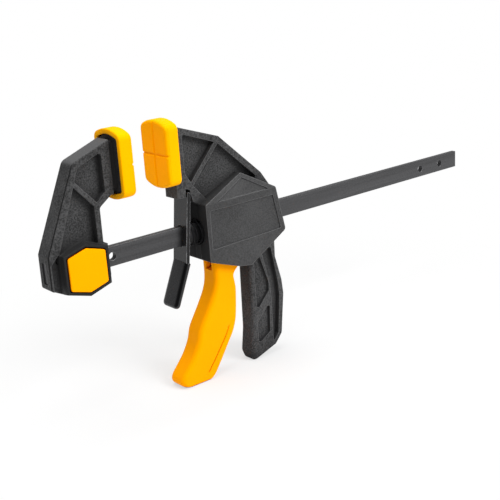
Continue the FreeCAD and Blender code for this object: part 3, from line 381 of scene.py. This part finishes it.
# Painted shade on the grip's edge side turned toward -X and -Y
grip_black = moulded_black(
    "grip_black_plastic", grip_plastic, toned(black_plastic_worn_highlight, 0.7),
    grain_scale=1900.0, grain_strength=0.20, gloss=0.27, shine=0.38, mottling=0.25,
    shade_side_direction=(-0.75, -0.58, 0.32))
pad_yellow = moulded_yellow(
    "pad_yellow_rubber", pad_colour, pad_colour_deep, pad_crevice_shade,
    grain_scale=2600.0, grain_strength=0.35, gloss=0.54)
trigger_yellow = moulded_yellow(
    "trigger_yellow_plastic", yellow_plastic, yellow_deep, toned(pad_crevice_shade, 0.7),
    grain_scale=2400.0, grain_strength=0.22, gloss=0.43, corner_top=0.70)
button_yellow = moulded_yellow(
    "button_yellow_plastic", yellow_plastic, yellow_deep, yellow_crevice_shade,
    grain_scale=1800.0, grain_strength=0.25, gloss=0.46, corner_top=0.95)
# Painted shade on the bar near the brake plate and the boss, over a long reach
bar_coating = coated_steel_finish(
    "bar_coated_steel", toned(coated_steel, 0.9), coated_steel_worn_highlight, streak_scale=(0.03, 1.0, 1.0),
    roughness=0.38, shine=0.5, edge=1.1 * MM, reach=14.0 * MM)
# Painted shade on the lever's side toward -Y, and strong painted highlight streaks on its edges
lever_coating = coated_steel_finish(
    "lever_coated_steel", toned(coated_steel, 0.4), toned(coated_steel_worn_highlight, 2.2),
    streak_scale=(1.0, 1.0, 0.05), roughness=0.24, shine=0.45, edge=1.0 * MM, minus_y_shade_tone=0.2)
spring_coating = coated_steel_finish(
    "spring_black_steel", spring_black, toned(coated_steel_worn_highlight, 0.08), streak_scale=(1.0, 1.0, 1.0),
    roughness=0.60, shine=0.05, edge=0.3 * MM)
plated_steel = bright_steel_finish("plated_steel", bright_steel, roughness=0.30)


def put_finish(piece, material):
    """One material for the whole piece."""
    piece.data.materials.clear()
    piece.data.materials.append(material)


node_finishes = {
    "bar": (bar_coating, "bar_steel"),
    "fixed_jaw_body": (fixed_black, "jaw_plastic"),
    "moving_jaw_body": (jaw_black, "jaw_plastic"),
    "front_cover": (cover_black, "cover_plastic"),
    "rear_cover": (cover_black, "cover_plastic"),
    "brake_plate": (lever_coating, "lever_steel"),
    "fixed_jaw_pad": (pad_yellow, "pad_rubber"),
    "moving_jaw_pad": (pad_yellow, "pad_rubber"),
    "lock_button": (button_yellow, "button_plastic"),
    "trigger": (trigger_yellow, "trigger_plastic"),
    "release_grip": (grip_black, "grip_plastic"),
    "lock_yoke": (cover_black, "yoke_plastic"),
    "lock_pin": (plated_steel, "zinc_steel"),
    "lock_spring": (spring_coating, "spring_steel"),
    "lock_cover": (cover_black, "cover_plastic"),
    "lock_cover_screws": (plated_steel, "zinc_steel"),
    "cover_screws": (plated_steel, "zinc_steel"),
    "trigger_pivot_pin": (plated_steel, "zinc_steel"),
    "drive_plate_first": (plated_steel, "zinc_steel"),
    "drive_plate_second": (plated_steel, "zinc_steel"),
    "drive_spring": (spring_coating, "spring_steel"),
    "brake_spring": (spring_coating, "spring_steel"),
}
for node, (material, slot) in node_finishes.items():
    put_finish(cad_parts[node], material)


# Shapes of the new pieces. Points are in millimetres until a mesh is made.

def grid_quads(numbers):
    """Quads of a grid of vertex numbers, each row joined to the next."""
    corners = (numbers[:-1, :-1], numbers[:-1, 1:], numbers[1:, 1:], numbers[1:, :-1])
    return np.stack(corners, axis=-1).reshape(-1, 4)


def ring_quads(numbers):
    """Quads between closed rings of vertex numbers, one ring in each row."""
    return grid_quads(np.concatenate([numbers, numbers[:, :1]], axis=1))


def make_piece(name, points, quads, caps, looks, body, nodes, crease=38.0):
    """Mesh piece that rides on a body and stands for some of the frame's nodes. Its faces are turned outward:
    they are flipped where the sum of p . (q x r) over its triangles, six times its volume, is negative."""
    faces = quads.tolist() + [list(cap) for cap in caps]
    mesh = bpy.data.meshes.new(name)
    mesh.from_pydata((points * MM).tolist(), [], faces)
    a, b, c, d = (points[quads[:, k]] for k in range(4))
    volume = np.sum(np.cross(a, b) * c) + np.sum(np.cross(a, c) * d)
    for cap in caps:
        fan = points[np.array(cap)]
        volume += np.sum(np.cross(fan[1:-1], fan[2:]) @ fan[0])
    if volume < 0.0:
        mesh.flip_normals()
    mesh.shade_smooth()
    mesh.set_sharp_from_angle(angle=math.radians(crease))
    piece = new_object(name, mesh)
    material, slot = looks
    put_finish(piece, material)
    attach(piece, body)
    if nodes:
        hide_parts(*nodes)
    return piece


def rings_piece(name, rings, looks, body, nodes, crease=38.0):
    """Piece whose skin runs over closed rings (an array rings x points x 3), flat at both ends."""
    rows, count = rings.shape[:2]
    numbers = np.arange(rows * count).reshape(rows, count)
    caps = (numbers[0, ::-1], numbers[-1])
    return make_piece(name, rings.reshape(-1, 3), ring_quads(numbers), caps, looks, body, nodes, crease)


def rounded_loop(corners, radii, steps):
    """Closed outline with an exact arc at each corner P, between its tangent points A and B:
    p(u) = ((1-u)^2 A + 2u(1-u) h P + u^2 B) / ((1-u)^2 + 2u(1-u) h + u^2), h = sine of half the angle."""
    corners = np.asarray(corners, float)
    back = np.roll(corners, 1, axis=0) - corners
    ahead = np.roll(corners, -1, axis=0) - corners
    back = back / np.linalg.norm(back, axis=1, keepdims=True)
    ahead = ahead / np.linalg.norm(ahead, axis=1, keepdims=True)
    half = np.arccos(np.clip(np.sum(back * ahead, axis=1), -1.0, 1.0)) / 2.0
    reach = (np.asarray(radii, float) / np.tan(half))[:, None]
    first, last = corners + back * reach, corners + ahead * reach
    u = np.linspace(0.0, 1.0, steps)[None, :, None]
    weight = 2.0 * u * (1.0 - u) * np.sin(half)[:, None, None]
    above = (1.0 - u) ** 2 * first[:, None] + weight * corners[:, None] + u ** 2 * last[:, None]
    return (above / ((1.0 - u) ** 2 + weight + u ** 2)).reshape(-1, 2)


def eased(value, low, high):
    """0 below low, 1 above high and 3u^2 - 2u^3 between them."""
    u = np.clip((value - low) / (high - low), 0.0, 1.0)
    return u * u * (3.0 - 2.0 * u)


# Jaw pads. The face lies toward the other jaw, and depths are measured from it.

pad_half_width = 22.0
pad_half_height = 33.5
pad_rise = 6.0
pad_corner = 7.0
pad_front_round = 3.0
pad_back_round = 1.2
pad_thickness = 14.5
pad_rim = 5.0
pad_floor = 8.5
pad_middle_z = 247.0
groove_depth = 1.15
groove_half = 1.7
groove_columns = np.array([0.0, 0.3, 0.6, 0.9, 1.2, 1.5, 1.8])
arch_radius = (pad_half_width ** 2 + pad_rise ** 2) / (2.0 * pad_rise)
arch_centre = pad_half_height - arch_radius
corner_y = pad_half_width - pad_corner
corner_z = arch_centre + math.sqrt((arch_radius - pad_corner) ** 2 - corner_y ** 2)


def pad_top(y, inset):
    """Upper edge of the pad's outline drawn in by e, at the distance y from its middle line:
    z = c + sqrt((R - e)^2 - y^2) on the arch, z = q + sqrt((k - e)^2 - (|y| - w)^2) on the corner.
    R and c: radius and centre height of the arch. k, w and q: radius and centre of the corner."""
    arch, corner = arch_radius - inset, pad_corner - inset
    on_arch = arch_centre + np.sqrt(np.maximum(arch ** 2 - y ** 2, 0.0))
    on_corner = corner_z + np.sqrt(np.maximum(corner ** 2 - (np.abs(y) - corner_y) ** 2, 0.0))
    return np.where(np.abs(y) <= corner_y * arch / (arch_radius - pad_corner), on_arch, on_corner)


def pad_point(across, up, inset):
    """Point of the outline drawn in by e: y = s (W - e), z = t h + sign(t) t^2 (top(y) - h), h = H - e."""
    y = across * (pad_half_width - inset)
    height = pad_half_height - inset
    return y, up * height + np.sign(up) * up ** 2 * (pad_top(y, inset) - height)


def pad_edge_distance(y, z):
    """Distance from a point inside the pad's outline to that outline."""
    y, z = np.abs(y), np.abs(z)
    to_side = pad_half_width - y
    to_arch = arch_radius - np.hypot(y, z - arch_centre)
    to_corner = pad_corner - np.hypot(y - corner_y, z - corner_z)
    in_corner = (z > corner_z) & (y * (corner_z - arch_centre) > (z - arch_centre) * corner_y)
    return np.where(in_corner, to_corner, np.minimum(to_side, to_arch))


def jaw_pad(name, face_x, away, body, node):
    """Soft cap: the face is a grid over the outline at the depth
    x = r - sqrt(r^2 - (r - d)^2) + groove, d = distance to the outline, r = rounding of the edge,
    and rings carry the outline back over the side, round the rim and down into the pocket."""
    turn = np.sin(np.linspace(0.3, math.pi / 2.0, 14))
    half_columns = np.concatenate([groove_columns, np.linspace(2.6, corner_y + 1.2, 9),
                                   corner_y + pad_corner * turn])
    half_rows = np.concatenate([groove_columns, np.linspace(2.6, 26.0, 12),
                                pad_half_height - 6.0 * (1.0 - turn)])
    columns = np.concatenate([-half_columns[:0:-1], half_columns]) / pad_half_width
    rows = np.concatenate([-half_rows[:0:-1], half_rows]) / pad_half_height
    across, up = np.meshgrid(columns, rows)
    y, z = pad_point(across, up, 0.0)
    near = np.clip(pad_edge_distance(y, z), 0.0, pad_front_round)
    depth = pad_front_round - np.sqrt(pad_front_round ** 2 - (pad_front_round - near) ** 2)
    groove = groove_depth * (1.0 - eased(np.minimum(np.abs(y), np.abs(z)), 0.2, groove_half))
    face = np.stack([depth + groove, y, z], axis=-1)
    numbers = np.arange(face[..., 0].size).reshape(face.shape[:2])
    edge = np.concatenate([numbers[0, :-1], numbers[:-1, -1], numbers[-1, :0:-1], numbers[:0:-1, 0]])
    edge_across, edge_up = across.ravel()[edge], up.ravel()[edge]
    swing = np.linspace(0.25, 1.0, 4) * math.pi / 2.0
    insets = np.concatenate([[0.0, 0.0, 0.0], pad_back_round * (1.0 - np.cos(swing)),
                             [pad_rim - 1.6], pad_rim - 0.8 + 0.8 * np.sin(swing),
                             [pad_rim, pad_rim, pad_rim + 0.4]])
    depths = np.concatenate([[5.0, 9.0, pad_thickness - pad_back_round],
                             pad_thickness - pad_back_round * (1.0 - np.sin(swing)), [pad_thickness],
                             pad_thickness - 0.8 * (1.0 - np.cos(swing)), [12.0, pad_floor + 0.4, pad_floor]])
    ring_y, ring_z = pad_point(edge_across[None, :], edge_up[None, :], insets[:, None])
    rings = np.stack([np.broadcast_to(depths[:, None], ring_y.shape), ring_y, ring_z], axis=-1)
    ring_numbers = numbers.size + np.arange(ring_y.size).reshape(ring_y.shape)
    points = np.concatenate([face.reshape(-1, 3), rings.reshape(-1, 3)])
    points = points * (away, 1.0, 1.0) + (face_x, 0.0, pad_middle_z)
    side_quads = ring_quads(np.concatenate([edge[None, :], ring_numbers]))
    quads = np.concatenate([grid_quads(numbers), side_quads])
    return make_piece(name, points, quads, [ring_numbers[-1]], (pad_yellow, "pad_rubber"), body, [node])


jaw_pad("fixed_pad_cap", -199.5, -1.0, "fixed_jaw", "fixed_jaw_pad")
jaw_pad("moving_pad_cap", -162.5, 1.0, "moving_jaw", "moving_jaw_pad")


# Trigger: pairs of points down its finger side and its open back, (x, z)

finger_side = [(-109.4, 136.0), (-109.4, 127.0), (-109.3, 118.0), (-109.4, 109.0),
               (-110.6, 100.0), (-114.3, 90.0), (-121.2, 78.0), (-128.2, 67.0),
               (-134.4, 56.5), (-138.2, 43.5), (-145.0, 31.0), (-153.5, 20.5),
               (-160.3, 12.6), (-162.1, 6.6), (-158.4, 1.6), (-152.5, 0.0)]
back_side = [(-91.1, 134.4), (-84.0, 127.0), (-76.3, 119.3), (-85.8, 108.2),
             (-85.4, 99.0), (-84.6, 92.0), (-85.2, 80.0), (-86.2, 68.6),
             (-88.0, 57.0), (-92.6, 45.0), (-100.5, 33.0), (-108.6, 20.6),
             (-114.2, 12.6), (-118.6, 6.4), (-124.5, 1.3), (-130.5, 0.0)]
trigger_half = 12.0
trigger_round = 5.5
trigger_foot_round = 2.2

# The hollow at the back, between two numbers of the points above, and its walls
upper_hollow = (4.115, 7.315)
lower_hollow = (7.565, 12.115)
side_wall = 3.0
front_wall = 5.0
solid_skin = 1.2

# The slot in the finger side: height of its ends, depth, and half its width at the mouth and at the bottom
slot_low = 116.0
slot_high = 126.0
slot_depth = 8.0
slot_mouth = 5.1
slot_bottom = 4.95

# The line along each flank
flank_line_depth = 1.3
flank_line_half = 1.3
flank_line_offsets = (1.3, 0.9, 0.45, 0.0, -0.45, -0.9, -1.3)


def line_point(points, u):
    """Curve through numbered points: with f = u - floor(u) between a and b, and z and c the points beyond
    them, q = (2a + (b - z) f + (2z - 5a + 4b - c) f^2 + (3a - z - 3b + c) f^3) / 2."""
    points = np.asarray(points, float)
    padded = np.concatenate([2.0 * points[:1] - points[1:2], points, 2.0 * points[-1:] - points[-2:-1]])
    step = np.minimum(np.floor(u).astype(int), len(points) - 2)
    f = (u - step)[:, None]
    z, a, b, c = padded[step], padded[step + 1], padded[step + 2], padded[step + 3]
    return (2 * a + (b - z) * f + (2 * z - 5 * a + 4 * b - c) * f ** 2
            + (3 * a - z - 3 * b + c) * f ** 3) / 2.0


def trigger_lever():
    """Hollow lever, row by row: at u, a chord runs from the finger side F(u) to the back B(u), and the
    section in the plane of the chord and Y is a U: x, z = F + (B - F) c / L. The finger side is an arc of
    radius r into both flanks, the slot in it and the line along each flank are sunk into the same skin, and
    the hollow ends at the front wall, or just inside the back edge where the lever is solid."""
    last = len(finger_side) - 1
    fine = np.linspace(0.0, last, 600)
    height = line_point(finger_side, fine)[:, 1]
    slot_ends = -np.array([slot_high + 0.1, slot_high - 0.2, slot_low + 0.2, slot_low - 0.1])
    slot_rows = np.interp(slot_ends, -height, fine)
    hollow_rows = np.array([4.10, 4.13, 7.30, 7.33, 7.55, 7.58, 12.10, 12.13])
    u = np.concatenate([np.linspace(0.0, last - 1.0, 141), last - np.linspace(1.0, 0.0, 16) ** 2,
                        slot_rows, hollow_rows])
    u = np.unique(np.round(u, 9))
    front, back = line_point(finger_side, u), line_point(back_side, u)
    length = np.linalg.norm(back - front, axis=1)
    low = np.clip(front[:, 1], 0.0, trigger_foot_round)
    half = (trigger_half - trigger_foot_round
            + np.sqrt(trigger_foot_round ** 2 - (trigger_foot_round - low) ** 2))
    hollow = (((u > upper_hollow[0]) & (u < upper_hollow[1]))
              | ((u > lower_hollow[0]) & (u < lower_hollow[1])))
    inner = np.where(hollow, front_wall, length - solid_skin)
    inner_round = np.minimum(2.0, length - inner - 0.6)
    line_at = length - np.interp(u, [8.2, 12.6], [8.0, 12.0])
    line_depth = flank_line_depth * eased(u, 8.15, 8.5) * (1.0 - eased(u, 12.4, 12.7))
    in_slot = (front[:, 1] < slot_high) & (front[:, 1] > slot_low)
    r = trigger_round
    arc = np.linspace(0.0, math.pi / 2.0, 11)
    level = 0.0 * u
    columns = [(length - 0.6, half), (length - 3.0, half)]
    for offset in flank_line_offsets:
        sunk = line_depth * (1.0 - eased(abs(offset), 0.2, flank_line_half))
        columns.append((line_at + offset, half - sunk))
    columns += [(r + (line_at - flank_line_half - r) * share, half) for share in (0.75, 0.5, 0.25)]
    columns += [(r * (1.0 - math.sin(a)) + level, half - r * (1.0 - math.cos(a))) for a in arc]
    columns += [(level, half - r - 0.8), (level, level + slot_mouth),
                (np.where(in_slot, slot_depth, 0.0), level + slot_bottom)]
    outside = [np.stack(column, axis=-1) for column in columns]
    wall = half - side_wall
    chamfer = np.where(hollow, 0.6, 0.4)
    inside = [(length - 0.2, half - 0.2), (length, half - 0.6), (length, half - 2.4),
              (length - chamfer, half - 2.4 - chamfer)]
    inside += [(inner + inner_round * (1.0 - math.sin(a)), wall - inner_round * (1.0 - math.cos(a)))
               for a in np.linspace(0.0, math.pi / 2.0, 6)]
    rim = [np.stack(column, axis=-1) for column in inside]
    mirror = np.array([1.0, -1.0])
    section = [p * mirror for p in outside] + outside[::-1] + rim + [p * mirror for p in rim[::-1]]
    section = np.stack(section, axis=1)
    along = (back - front) / length[:, None]
    place = front[:, None, :] + along[:, None, :] * section[..., :1]
    rings = np.stack([place[..., 0], section[..., 1], place[..., 1]], axis=-1)
    return rings_piece("trigger_lever", rings, (trigger_yellow, "trigger_plastic"), "trigger", ["trigger"],
                       crease=34.0)


# Ears of the trigger, (x, z)

pivot = np.array([-103.0, 184.0])
hub_radius = 6.5
pivot_hole_radius = 3.05
ear_edge = [(-109.3, 160.0), (-109.3, 147.0), (-109.3, 133.5), (-100.0, 133.5), (-93.6, 133.5),
            (-93.4, 141.0), (-91.6, 146.5), (-90.5, 151.0), (-90.9, 153.5), (-93.4, 160.5), (-95.0, 172.0)]


def trigger_ear(name, near_y, far_y):
    """Flat ear of the trigger round its pivot: the outline O and the pivot hole H share their directions from
    the pivot, and rings x, z = H (1 - s) + O s run from the hole's edge (s = 0) over one face, the outline
    (s = 1) and the other face back to it."""
    hub = np.linspace(0.0, math.pi, 33)
    outline = np.concatenate([pivot + hub_radius * np.stack([np.cos(hub), np.sin(hub)], axis=-1), ear_edge])
    away = outline - pivot
    hole = pivot + pivot_hole_radius * away / np.linalg.norm(away, axis=1, keepdims=True)
    profile = np.array([(0.0, 0.0), (0.08, 0.0), (0.92, 0.0), (1.0, 0.06),
                        (1.0, 0.94), (0.92, 1.0), (0.08, 1.0), (0.0, 1.0)])
    out = profile[:, :1, None]
    depth = near_y + (far_y - near_y) * profile[:, 1]
    flat = hole[None] * (1.0 - out) + outline[None] * out
    rings = np.stack([flat[..., 0], np.broadcast_to(depth[:, None], flat.shape[:2]), flat[..., 1]], axis=-1)
    numbers = np.arange(flat.shape[0] * flat.shape[1]).reshape(flat.shape[:2])
    closed = np.concatenate([numbers, numbers[:1]])
    return make_piece(name, rings.reshape(-1, 3), ring_quads(closed), [], (trigger_yellow, "trigger_plastic"),
                      "trigger", [])


trigger_lever()
trigger_ear("trigger_front_ear", -11.7, -4.2)
trigger_ear("trigger_rear_ear", 4.2, 11.7)


# Lock button: its middle and face, and half its measures

button_x = -257.55
button_z = 158.0
button_face_y = -18.0
button_half_width = 19.8
button_side = 15.5
button_apex = 21.3
button_corner = 2.6
button_round = 1.1
button_dome = 0.35


def hexagon(inset):
    """Outline of the button drawn in by an amount, all corners rounded."""
    half_width = button_half_width - inset
    side = button_side - 0.52 * inset
    apex = button_apex - 1.04 * inset
    corners = [(-half_width, -side), (-half_width, side), (0.0, apex),
               (half_width, side), (half_width, -side), (0.0, -apex)]
    return rounded_loop(corners, [max(button_corner - inset, 0.8)] * 6, 9)


def lock_push_button():
    """Rings of the hexagon from the middle of the domed face, y = y0 + D (1 - d)^2 short of the edge with d
    the share of the way in and D the dome's height, over a rounding and down the side to the flat back."""
    turn = np.linspace(0.0, math.pi / 2.0, 7)
    insets = np.concatenate([[14.0, 11.0, 8.0, 5.5, 3.5, 2.0], button_round * (1.0 - np.sin(turn)),
                             [0.0, 0.0]])
    dome = button_dome * (1.0 - np.clip(insets, 0.0, 14.0) / 14.0) ** 2
    edge = np.concatenate([np.zeros(6), button_round * (1.0 - np.cos(turn)), [3.0, 4.65]])
    loops = np.stack([hexagon(inset) for inset in insets])
    y = button_face_y + np.minimum(dome + edge, 5.0)
    rings = np.stack([loops[..., 0] + button_x, np.broadcast_to(y[:, None], loops.shape[:2]),
                      loops[..., 1] + button_z], axis=-1)
    return rings_piece("lock_push_button", rings, (button_yellow, "button_plastic"), "lock_button",
                       ["lock_button"])


lock_push_button()


# Release grip: it starts where the brake plate, tilted by 6.6 degrees, bends 72 mm below its pivot

lever_bend_x = -134.3 - 72.0 * math.tan(math.radians(6.6))
lever_bend_z = 131.0
sleeve_tilt = math.radians(23.0)
sleeve_length = 48.0
sleeve_start = 2.5
sleeve_half_wide = 12.7
sleeve_half_thin = 3.2
sleeve_swell = 0.2
wide_round = 5.0
thin_round = 2.7
lip_round = 0.7


def release_sleeve():
    """Sleeve along its own axis s, tilted with the lever: each section is a rectangle with quarter ellipses
    for corners (k thick and 2 k wide), and the lower end closes with w = w0 - k + sqrt(k^2 - (k - e)^2),
    e = distance from the end, across both its width and thickness."""
    from_end = np.concatenate([
        wide_round * (1.0 - np.cos(np.linspace(0.0, math.pi / 2.0, 14))), np.linspace(6.5, 46.0, 14),
        sleeve_length - 1.2 * (1.0 - np.sin(np.linspace(0.2, math.pi / 2.0, 6)))])
    along = sleeve_start - sleeve_length + from_end
    from_top = sleeve_length - from_end
    wide_cut = np.clip(wide_round - from_end, 0.0, wide_round)
    thin_cut = np.clip(thin_round - from_end, 0.0, thin_round)
    top_cut = np.clip(lip_round - from_top, 0.0, lip_round)
    lip = lip_round - np.sqrt(lip_round ** 2 - top_cut ** 2)
    half_wide = sleeve_half_wide - wide_round + np.sqrt(wide_round ** 2 - wide_cut ** 2) - lip
    half_thin = (sleeve_half_thin + sleeve_swell * from_end / sleeve_length - thin_round
                 + np.sqrt(thin_round ** 2 - thin_cut ** 2) - lip)
    corner = np.minimum(thin_round, 0.8 * half_thin)
    corner_wide = 2.0 * corner
    angle = np.linspace(0.0, math.pi / 2.0, 8)
    quarters = np.array([(1, 1), (-1, 1), (-1, -1), (1, -1)])
    swing = angle[None, :] + np.arange(4)[:, None] * math.pi / 2.0
    across = (quarters[None, :, :1] * (half_wide - corner_wide)[:, None, None]
              + corner_wide[:, None, None] * np.cos(swing)[None]).reshape(len(along), -1)
    through = (quarters[None, :, 1:] * (half_thin - corner)[:, None, None]
               + corner[:, None, None] * np.sin(swing)[None]).reshape(len(along), -1)
    s = np.broadcast_to(along[:, None], across.shape)
    x = lever_bend_x + through * math.cos(sleeve_tilt) + s * math.sin(sleeve_tilt)
    z = lever_bend_z - through * math.sin(sleeve_tilt) + s * math.cos(sleeve_tilt)
    rings = np.stack([x, across, z], axis=-1)
    return rings_piece("release_sleeve", rings, (grip_black, "grip_plastic"), "release_lever",
                       ["release_grip"])


release_sleeve()


# Springs

def coil(name, start, end, axis, side, radius, wire, turns, body, node):
    """Wire round a helix of radius R: centre line m(a) = start + axis h(a) + R (side cos a + up sin a), where
    the height h rises most slowly over the first and last half turn, so that the ends lie nearly flat."""
    axis, side = np.array(axis, float), np.array(side, float)
    up = np.cross(axis, side)
    start = np.array(start, float)
    free = float(np.dot(np.array(end, float) - start, axis)) - wire
    a = np.linspace(0.0, 2.0 * math.pi * (turns + 1.0), int(40 * (turns + 1)) + 1)
    share = a / a[-1]
    flat = 0.5 / (turns + 1.0)
    rise = (eased(share, flat * 0.4, 1.0 - flat * 0.4) * 0.35
            + 0.65 * np.clip((share - flat) / (1 - 2 * flat), 0, 1))
    outward = side * np.cos(a)[:, None] + up * np.sin(a)[:, None]
    centre = start + axis * wire / 2.0 + axis * (free * rise)[:, None] + radius * outward
    along = np.gradient(centre, axis=0)
    along = along / np.linalg.norm(along, axis=1, keepdims=True)
    second = np.cross(along, outward)
    ring = np.linspace(0.0, 2.0 * math.pi, 12, endpoint=False)
    rings = centre[:, None] + wire / 2.0 * (outward[:, None] * np.cos(ring)[None, :, None]
                                            + second[:, None] * np.sin(ring)[None, :, None])
    return rings_piece(name, rings, (spring_coating, "spring_steel"), body, [node])


drive_coil = coil("drive_coil", (-83.6, 0.0, 160.0), (-53.0, 0.0, 160.0), axis=(1, 0, 0), side=(0, 1, 0),
                  radius=12.4, wire=1.6, turns=5, body="moving_jaw", node="drive_spring")
brake_coil = coil("brake_coil", (-134.6, 0.0, 160.0), (-117.0, 0.0, 160.0), axis=(1, 0, 0), side=(0, 1, 0),
                  radius=12.4, wire=1.4, turns=3, body="moving_jaw", node="brake_spring")
lock_coil = coil("lock_coil", (-259.8, -13.0, 160.0), (-259.8, -5.15, 160.0), axis=(0, 1, 0), side=(1, 0, 0),
                 radius=4.0, wire=0.8, turns=2, body="fixed_jaw", node="lock_spring")
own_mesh(drive_coil)
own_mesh(brake_coil)
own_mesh(lock_coil)


# Floor, light and camera

def shown_to_eye(tree):
    """1 for rays that see the surface directly, in a mirror or through glass."""
    path = new_node(tree, "ShaderNodeLightPath")
    seen = path.outputs["Is Camera Ray"]
    for kind in ("Is Glossy Ray", "Is Transmission Ray"):
        larger = new_node(tree, "ShaderNodeMath", operation="MAXIMUM")
        tree.links.new(seen, larger.inputs[0])
        tree.links.new(path.outputs[kind], larger.inputs[1])
        seen = larger.outputs[0]
    return seen


def pale_floor():
    """White floor: to the eye a share of its own white, all of it far out, over a somewhat greyer surface
    that takes light and shadow."""
    half = floor_half
    corners = [(-half, -half, 0), (half, -half, 0), (half, half, 0), (-half, half, 0)]
    mesh = bpy.data.meshes.new("floor")
    mesh.from_pydata(corners, [], [(0, 1, 2, 3)])
    floor = new_object("floor", mesh)
    material = bpy.data.materials.new("floor_white")
    material.use_nodes = True
    tree = material.node_tree
    tree.nodes.clear()
    output = new_node(tree, "ShaderNodeOutputMaterial")
    diffuse = new_node(tree, "ShaderNodeBsdfDiffuse")
    white = new_node(tree, "ShaderNodeEmission")
    white.inputs["Strength"].default_value = 1.0
    mix = new_node(tree, "ShaderNodeMixShader")
    share = new_node(tree, "ShaderNodeMath", operation="MULTIPLY")
    place = new_node(tree, "ShaderNodeTexCoord")
    away = new_node(tree, "ShaderNodeVectorMath", operation="LENGTH")
    fade = new_node(tree, "ShaderNodeMapRange", interpolation_type="SMOOTHSTEP")
    fade.inputs["From Min"].default_value = fade_start
    fade.inputs["From Max"].default_value = fade_end
    fade.inputs["To Min"].default_value = white_share_near
    fade.inputs["To Max"].default_value = 1.0
    tree.links.new(place.outputs["Object"], away.inputs[0])
    tree.links.new(away.outputs["Value"], fade.inputs["Value"])
    tree.links.new(fade.outputs["Result"], share.inputs[1])
    seen = shown_to_eye(tree)
    tone = new_node(tree, "ShaderNodeMapRange")
    tone.inputs["To Min"].default_value = backdrop_white
    tone.inputs["To Max"].default_value = backdrop_seen
    tree.links.new(seen, tone.inputs["Value"])
    tree.links.new(tone.outputs["Result"], diffuse.inputs["Color"])
    tree.links.new(seen, share.inputs[0])
    tree.links.new(share.outputs[0], mix.inputs["Fac"])
    tree.links.new(diffuse.outputs[0], mix.inputs[1])
    tree.links.new(white.outputs[0], mix.inputs[2])
    tree.links.new(mix.outputs[0], output.inputs["Surface"])
    mesh.materials.append(material)


def studio_world(strength):
    """Even grey light all round, seen by the eye as white."""
    world = bpy.data.worlds.new("studio")
    bpy.context.scene.world = world
    world.use_nodes = True
    tree = world.node_tree
    tree.nodes.clear()
    output = new_node(tree, "ShaderNodeOutputWorld")
    light = new_node(tree, "ShaderNodeBackground")
    light.inputs["Strength"].default_value = strength
    white = new_node(tree, "ShaderNodeBackground")
    white.inputs["Strength"].default_value = 1.0
    for background in (light, white):
        background.inputs["Color"].default_value = (1.0, 1.0, 1.0, 1.0)
    mix = new_node(tree, "ShaderNodeMixShader")
    path = new_node(tree, "ShaderNodeLightPath")
    tree.links.new(path.outputs["Is Camera Ray"], mix.inputs["Fac"])
    tree.links.new(light.outputs[0], mix.inputs[1])
    tree.links.new(white.outputs[0], mix.inputs[2])
    tree.links.new(mix.outputs[0], output.inputs["Surface"])


def soft_box(name, place, target, size, power):
    """Square lamp at a place, turned to face a target."""
    lamp = bpy.data.lights.new(name, "AREA")
    lamp.shape = "SQUARE"
    lamp.size = size
    lamp.energy = power
    holder = new_object(name, lamp)
    away = np.array(place) - np.array(target)
    away = away / np.linalg.norm(away)
    side = np.cross((0.0, 0.0, 1.0), away)
    side = side / np.linalg.norm(side)
    put_in_place(holder, side, np.cross(away, side), away, place)


def photo_camera():
    camera = bpy.data.cameras.new("camera")
    camera.lens = camera_lens
    camera.sensor_width = camera_sensor
    camera.clip_start = 0.01
    camera.clip_end = 60.0
    holder = new_object("camera", camera)
    put_in_place(holder, camera_right, camera_up, camera_back, camera_place)
    bpy.context.scene.camera = holder


pale_floor()
studio_world(surround_strength)
for lamp_name, lamp_settings in lamps.items():
    soft_box(lamp_name, *lamp_settings)
photo_camera()
bpy.context.scene.view_settings.view_transform = "Standard"
